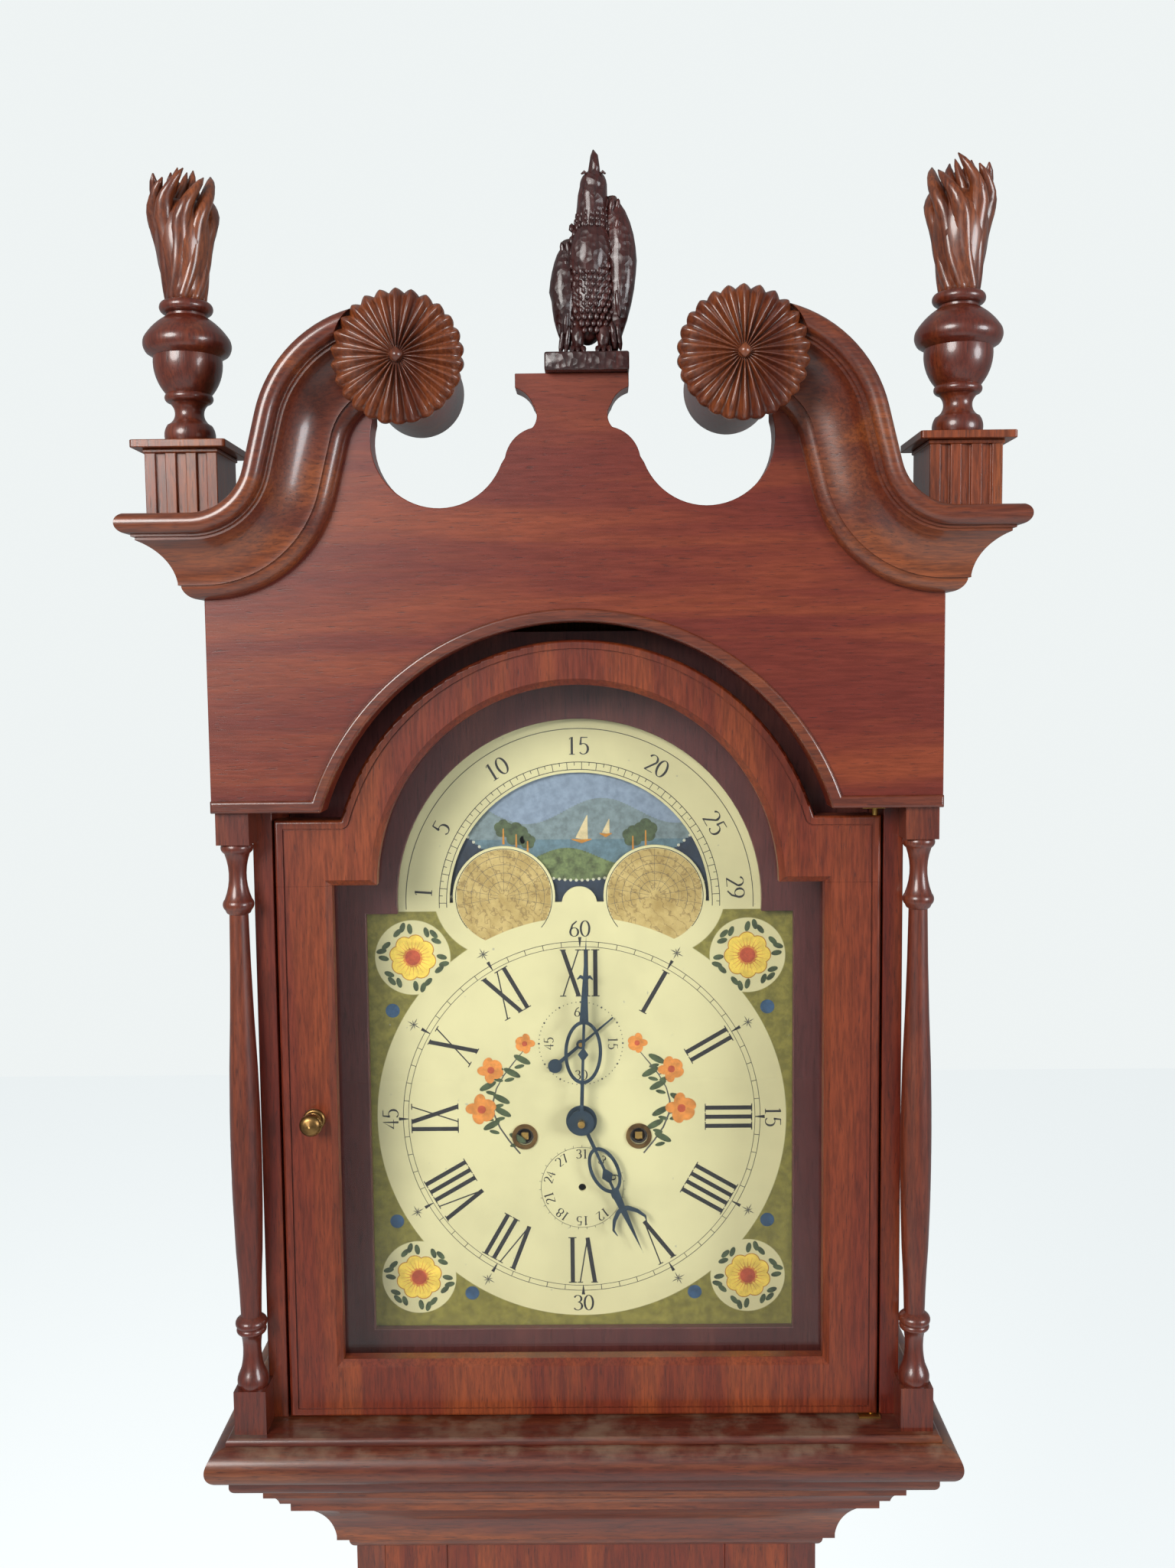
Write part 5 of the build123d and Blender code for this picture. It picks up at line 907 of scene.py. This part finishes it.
class CLOCK_OT_dial(bpy.types.Operator):
    """Painted dial with its numerals, rings and sprays"""

    bl_idname = "clock.dial"
    bl_label = "Paint the dial"

    def execute(self, context):
        dress("dial", [FINISH["dial"]])
        ink = Brush("numerals_black", "ink", "case", 0.05)
        fine = Brush("dial_rings_grey", "fine", "case", 0.11)
        hump = Brush("engraved_humps", "hump", "case", 0.04)
        self.hours(ink, fine)
        self.small_dials(ink, fine)
        colours = self.flowers()
        self.arch(ink)
        self.humps(ink, fine, hump)
        for brush in (ink, fine, hump, *colours):
            brush.done()
        dress("winding_grommets", [FINISH["aged_brass"]])
        winding = Brush("winding_hole_shade", "dark", "case", -1.9)
        for side in (-1, 1):
            winding.ring(side * 40.6, 137.5, 5.4, 1.5, 0, 360, 32)
        winding.done()
        return {"FINISHED"}

    def hours(self, ink, fine):
        """Roman hours, the minute track, the quarters and a star at each other hour."""
        track_in, track_out, long_tick = 123.3, 127.0, 130.2
        for hour, text in enumerate(ROMAN):
            write_roman(ink, text, hour * 30, 88, 121)
        ink.ring(0, CENTRE, track_out, 0.4, 0, 360, 180)
        ink.ring(0, CENTRE, track_in, 0.35, 0, 360, 180)
        for minute in range(60):
            if minute % 5 == 0:
                ink.tick(0, CENTRE, minute * 6, track_in, long_tick, (0.5, 2.4))
            else:
                ink.tick(0, CENTRE, minute * 6, track_in, track_out, (0.45, 0.45))
        write_around(ink, QUARTERS, CENTRE, 136.2, 11.6, upright=(180,))
        for hour in (1, 2, 4, 5, 7, 8, 10, 11):
            px, pz = around(0, CENTRE, 136.6, hour * 30)
            for ray in range(8):
                reach = 5.0 if ray % 2 == 0 else 3.2
                turn = hour * 30 + ray * 45
                fine.stroke([(px, pz), around(px, pz, reach * 0.45, turn), around(px, pz, reach, turn)],
                            (0.3, 0.7, 0.1))

    def small_dials(self, ink, fine):
        """Seconds dial above the centre and date dial below it."""
        date_in, date_out = 29.4, 31.0
        for second in range(60):
            fine.disc(*around(0, SECONDS, 29.75, second * 6), 0.42 if second % 5 else 0.75, 6)
        write_around(ink, QUARTERS, SECONDS, 22.8, 7.0, 0.14, (180,))
        fine.ring(0, DATE, date_in, 0.28, 0, 360, 72)
        dates = [(str(day or 31), day * 12) for day in range(0, 30, 3)]
        write_around(ink, dates, DATE, 24.6, 6.8, 0.15)
        for day in range(31):
            fine.tick(0, DATE, day * 360 / 31, date_in, date_out, (0.3, 0.3))

    def flowers(self):
        """Corner roundels, blue dots and the two sprays; returns their brushes."""
        lifts = (("leaf", 0.16), ("ochre", 0.16), ("yellow", 0.21), ("red", 0.36), ("blue", 0.16),
                 ("orange", 0.27), ("fine", 0.15))
        colours = [Brush("painted_" + name, name, "case", lift) for name, lift in lifts]
        leaf, ochre, yellow, red, blue, orange, stem = colours
        for i, (x, z) in enumerate(((-118, 116.5), (118, 116.5), (-118, -116.5), (118, -116.5))):
            flower(yellow, ochre, orange, red, leaf, x, CENTRE + z, 12 + 31 * i)
        for x, z in ((-133, 78.5), (132, 79.5), (-133, -75), (132, -75.5), (-80, -128.5), (80, -128.5)):
            blue.disc(x, CENTRE + z, 5.0, 24)
        for side in (-1, 1):
            spray(stem, leaf, orange, red, side, CENTRE + 8)
        return colours

    def arch(self, ink):
        """Age of the moon round the arch: rings, half-day ticks and days."""
        inner, middle, outer = 93.4, 98.6, 122.0
        for radius in (inner, middle, outer):
            ink.ring(0, ARCH, radius, 0.5, -92, 92, 90)
        for step in range(60):
            start = inner if step % 2 == 0 else 96.2
            ink.tick(0, ARCH, -90 + step * 180 / 59, start, middle, (0.45, 0.45))
        days = (("1", -86), ("5", -61), ("10", -31), ("15", 0), ("20", 30), ("25", 60), ("29", 85))
        write_around(ink, days, ARCH, 110, 12.5)

    def humps(self, ink, fine, hump):
        """Two gilt humps over the moon disc, each cut off by the hour circle, with rings and spokes."""
        radius, hour_circle = 33.5, 144.5
        for side in (-1, 1):
            x, z = side * HUMP[0], HUMP[1]
            for step in range(68):
                u = step - radius
                tall = max(0.0, radius ** 2 - u * u) ** 0.5
                floor = CENTRE + (hour_circle ** 2 - (x + u) ** 2) ** 0.5
                hump.column(lambda a, b, middle=x: (middle + a, b), u, max(z - tall, floor), z + tall, 1.1)
            ink.ring(x, z, radius + 0.5, 0.5, -130, 130, 60)
            for ring in (11, 17, 23, 28.5):
                fine.ring(x, z, ring, 0.25, -115, 115, 50)
            for spoke in range(-100, 101, 20):
                fine.tick(x, z, spoke, 4, 33, (0.2, 0.2))


class CLOCK_OT_moon(bpy.types.Operator):
    """Moon disc with two moons and two country scenes"""

    bl_idname = "clock.moon"
    bl_label = "Paint the moon disc"

    def execute(self, context):
        dress("moon_disc", [FINISH["moon_ground"]])
        lifts = (("sky", 0.05), ("far_hill", 0.10), ("water", 0.15), ("hill", 0.20), ("dots", 0.25),
                 ("leaf", 0.30), ("sail", 0.30), ("yellow", 0.05), ("ochre", 0.35))
        brushes = {name: Brush("moon_" + name, name, "moon_work", lift, -0.012, "moon_paint")
                   for name, lift in lifts}
        for turn in (0, 180):
            self.scene(brushes, turn)
        moons = []
        for turn in (90, 270):
            s, c = sin(radians(turn)), cos(radians(turn))
            mx, mz = around(0, MOON, MOON_OUT, turn)
            moons.append((mx, mz))
            brushes["yellow"].disc(mx, mz, 28, 64)
            for offset in (-9, 9):
                brushes["ochre"].disc(mx + offset * c + 6 * s, mz - offset * s + 6 * c, 2.4, 16)
            brushes["ochre"].disc(mx - 11 * s, mz - 11 * c, 4.0, 20)
        chance = random.Random(4)
        for _ in range(260):
            turn, reach = chance.uniform(0, 360), chance.uniform(30, 93)
            px, pz = around(0, MOON, reach, turn)
            near = min(hypot(px - mx, pz - mz) for mx, mz in moons)
            if near > 31 and abs(pz - MOON) < 16:
                for ray in range(3):
                    star = [around(px, pz, tip, ray * 60 + turn) for tip in (-1.7, 0, 1.7)]
                    brushes["dots"].stroke(star, (0.1, 0.7, 0.1))
        for brush in brushes.values():
            brush.done()
        return {"FINISHED"}

    def scene(self, brushes, turn):
        """One landscape: sky, far hills, a lake with boats, and a near bank with trees."""
        s, c = sin(radians(turn)), cos(radians(turn))
        rim, foot = 96.4, 113
        grounds = (("far_hill", 6, 9, 0.060, 0.6), ("water", -14, 0, 0, 0), ("hill", -26, 6, 0.075, 2.2))

        def put(u, v):
            return (u * c + (MOON_OUT + v) * s, MOON - u * s + (MOON_OUT + v) * c)

        for i in range(83):
            u = -82 + 2 * i
            bottom = 70 - (foot ** 2 - u * u) ** 0.5
            top = (rim ** 2 - u * u) ** 0.5 - MOON_OUT
            brushes["sky"].column(put, u, bottom, top)
            for name, rest, high, wave, phase in grounds:
                brushes[name].column(put, u, bottom, min(top, rest + high * sin(u * wave + phase)))
            if i % 2 == 0:
                brushes["dots"].disc(*put(u, bottom), 1.1, 8)
        for u, v, size in ((-44, -10, 9), (-53, -6, 7), (-36, -15, 6), (38, -12, 8), (47, -8, 9)):
            brushes["ochre"].stroke([put(u, v - size * 1.6), put(u, v)], (1.6, 0.8))
            for k in range(5):
                brushes["leaf"].disc(*put(*around(u, v, size * 0.45, k * 72)), size * 0.5, 14)
        for u, v, size in ((2, -14, 1.0), (19, -10, 0.6)):
            brushes["sail"].stroke([put(u, v), put(u + 4 * size, v + 17 * size)], (9 * size, 0.4))
            hull = [put(u - 7 * size, v), put(u, v - 1.5), put(u + 7 * size, v)]
            brushes["ochre"].stroke(hull, (0.6, 2.6, 0.6))


class CLOCK_OT_works(bpy.types.Operator):
    """Hands, movement, pendulum, bell and weights"""

    bl_idname = "clock.works"
    bl_label = "Finish hands and works"

    def execute(self, context):
        dress_all("blued_steel", "blued", "hour_hand", "minute_hand", "seconds_hand")
        dress_all("brass", "brass", "movement_frame", "centre_wheel", "hour_wheel", "motion_wheel",
                  "third_wheel", "escape_wheel", "going_great_wheel", "strike_great_wheel", "going_barrel",
                  "strike_barrel", "pin_wheel")
        dress_all("brass", "brass", "pendulum_bob", sharp=40)
        dress_all("bell_metal", "bell", "bell", sharp=40)
        dress_all("steel", "steel", "hammer", "pallets_and_crutch", "pendulum_rod")
        dress_all("brass_aged", "aged_brass", "going_weight", "strike_weight", sharp=40)
        dress_all("gut", "gut", "line_tops", sharp=40)
        self.scrolls()
        steps = 40
        for name in ("going", "strike"):
            low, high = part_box(name + "_line")
            x, y = (low.x + high.x) / 2, (low.y + high.y) / 2
            bm = bmesh.new()
            points = [(x / MM, y / MM, (low.z + (high.z - low.z) * i / steps) / MM) for i in range(steps + 1)]
            tube(bm, points, [(high.x - low.x) / 2 / MM] * (steps + 1), 10)
            closed(bm)
            line = new_object(bm, name + "_gut", [FINISH["gut"]])
            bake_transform(line)
            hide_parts(name + "_line")
        return {"FINISHED"}

    def scrolls(self):
        """Hubs, scrolls and cross pieces of the hour and minute hands."""
        hour = Brush("hour_hand_scroll", "blued", "hour_work", 0.0, -0.02255, "blued_steel")
        minute = Brush("minute_hand_scroll", "blued", "minute_work", 0.0, -0.02755, "blued_steel")

        def draw(brush, turn, points, widths):
            s, c = sin(radians(turn)), cos(radians(turn))
            for way in (-1, 1):
                brush.stroke([(way * u * c + v * s, CENTRE - way * u * s + v * c) for u, v in points], widths)

        draw(hour, 156, [(0, 70), (4, 71.5), (9, 76), (12.5, 82), (11.5, 87)], (3.4, 3.2, 2.6, 1.6, 0.4))
        draw(hour, 156, [(0, 40), (2.4, 44), (0, 48)], (3.0, 3.4, 3.0))
        draw(minute, 2, [(0, 103), (3.4, 104.5), (5.4, 102.5)], (2.4, 2.2, 0.8))
        draw(minute, 2, [(0, 46), (2.2, 49), (0, 52)], (2.6, 3.0, 2.6))
        hour.disc(0, CENTRE, 9.6, 48)
        minute.disc(0, CENTRE, 7.0, 40)
        hour.done(1.0)
        minute.done(1.0)


class CLOCK_OT_stage(bpy.types.Operator):
    """Floor, soft lamps, world and camera"""

    bl_idname = "clock.stage"
    bl_label = "Set the stage"

    def execute(self, context):
        scene = context.scene
        self.floor()
        self.lamps()
        scene.world = self.world()
        scene.view_settings.view_transform = "Standard"
        scene.camera = self.camera()
        return {"FINISHED"}

    def floor(self):
        """A pale floor, a little brighter to the camera."""
        bm = bmesh.new()
        bmesh.ops.create_grid(bm, x_segments=1, y_segments=1, size=6.0)
        material, tree, shader = new_material("studio floor")
        sight = add_node(tree, "LightPath")
        glow = math_node("MULTIPLY", sight.outputs["Is Camera Ray"], 0.66)
        feed(shader, {"Base Color": (0.86, 0.89, 0.90, 1), "Roughness": 0.8,
                      "Emission Color": (0.86, 0.90, 0.90, 1), "Emission Strength": glow})
        floor = new_object(bm, "studio_floor", [material])

    def lamps(self):
        """A warm key lamp from the left and a cool fill from the right."""
        target = Vector((0, -0.05, 1.9))
        for name, place, size, power, colour in (
                ("key", (-1.6, -2.6, 3.1), 1.6, 96, (1.0, 0.98, 0.95)),
                ("fill", (2.3, -1.7, 2.3), 1.2, 46, (0.93, 0.97, 1.0))):
            data = bpy.data.lights.new("lamp_" + name, "AREA")
            data.shape = "DISK"
            data.size = size
            data.energy = power
            data.color = colour
            lamp = bpy.data.objects.new("lamp_" + name, data)
            aim = target - Vector(place)
            lamp.matrix_world = Matrix.Translation(place) @ aim.to_track_quat("-Z", "Y").to_matrix().to_4x4()
            bpy.context.scene.collection.objects.link(lamp)

    def world(self):
        """A pale world, brighter to the camera than to the clock."""
        world = bpy.data.worlds.new("studio")
        world.use_nodes = True
        tree = world.node_tree
        seen = add_node(tree, "LightPath").outputs["Is Camera Ray"]
        feed(tree.nodes["Background"], {
            "Color": mix_node(seen, (0.72, 0.76, 0.78, 1), (0.86, 0.90, 0.90, 1)),
            "Strength": step_node(seen, -0.7, 1.0)})
        return world

    def camera(self):
        """The photo's camera."""
        data = bpy.data.cameras.new("camera")
        data.sensor_width = 36
        data.lens = 31.507
        data.clip_start = 0.02
        eye = bpy.data.objects.new("camera", data)
        pitch, yaw, roll = -0.081, -0.009, -0.010
        forward = Vector((sin(yaw) * cos(pitch), cos(yaw) * cos(pitch), sin(pitch)))
        level = Vector((cos(yaw), -sin(yaw), 0))
        upright = level.cross(forward)
        right = level * cos(roll) + upright * sin(roll)
        up = -level * sin(roll) + upright * cos(roll)
        turn = Matrix((right, up, -forward)).transposed().to_4x4()
        eye.matrix_world = Matrix.Translation((0.015157, -0.970832, 2.066616)) @ turn
        bpy.context.scene.collection.objects.link(eye)
        return eye


class CLOCK_PT_panel(bpy.types.Panel):
    """Clock tools"""

    bl_label = "Clock"
    bl_idname = "CLOCK_PT_panel"
    bl_space_type = "VIEW_3D"
    bl_region_type = "UI"
    bl_category = "Clock"

    def draw(self, context):
        settings = context.scene.clock_settings
        for name in ("wood_dark", "wood_middle", "wood_light", "rounding", "petals", "licks"):
            self.layout.prop(settings, name)
        for name in ("case", "hood", "carving", "dial", "moon", "works", "stage"):
            self.layout.operator("clock." + name)


CLASSES = (ClockSettings, CLOCK_OT_case, CLOCK_OT_hood, CLOCK_OT_carving, CLOCK_OT_dial, CLOCK_OT_moon,
           CLOCK_OT_works, CLOCK_OT_stage, CLOCK_PT_panel)


def register():
    """Adds the settings, operators and panel."""
    for cls in CLASSES:
        bpy.utils.register_class(cls)
    bpy.types.Scene.clock_settings = bpy.props.PointerProperty(type=ClockSettings)


def unregister():
    """Takes the settings, operators and panel out again."""
    del bpy.types.Scene.clock_settings
    for cls in reversed(CLASSES):
        bpy.utils.unregister_class(cls)


def main():
    """Builds the whole model in order."""
    register()
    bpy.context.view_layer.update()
    build_finishes(bpy.context.scene.clock_settings)
    for name in ("case", "hood", "carving", "dial", "moon", "works", "stage"):
        getattr(bpy.ops.clock, name)()


if __name__ == "__main__":
    main()
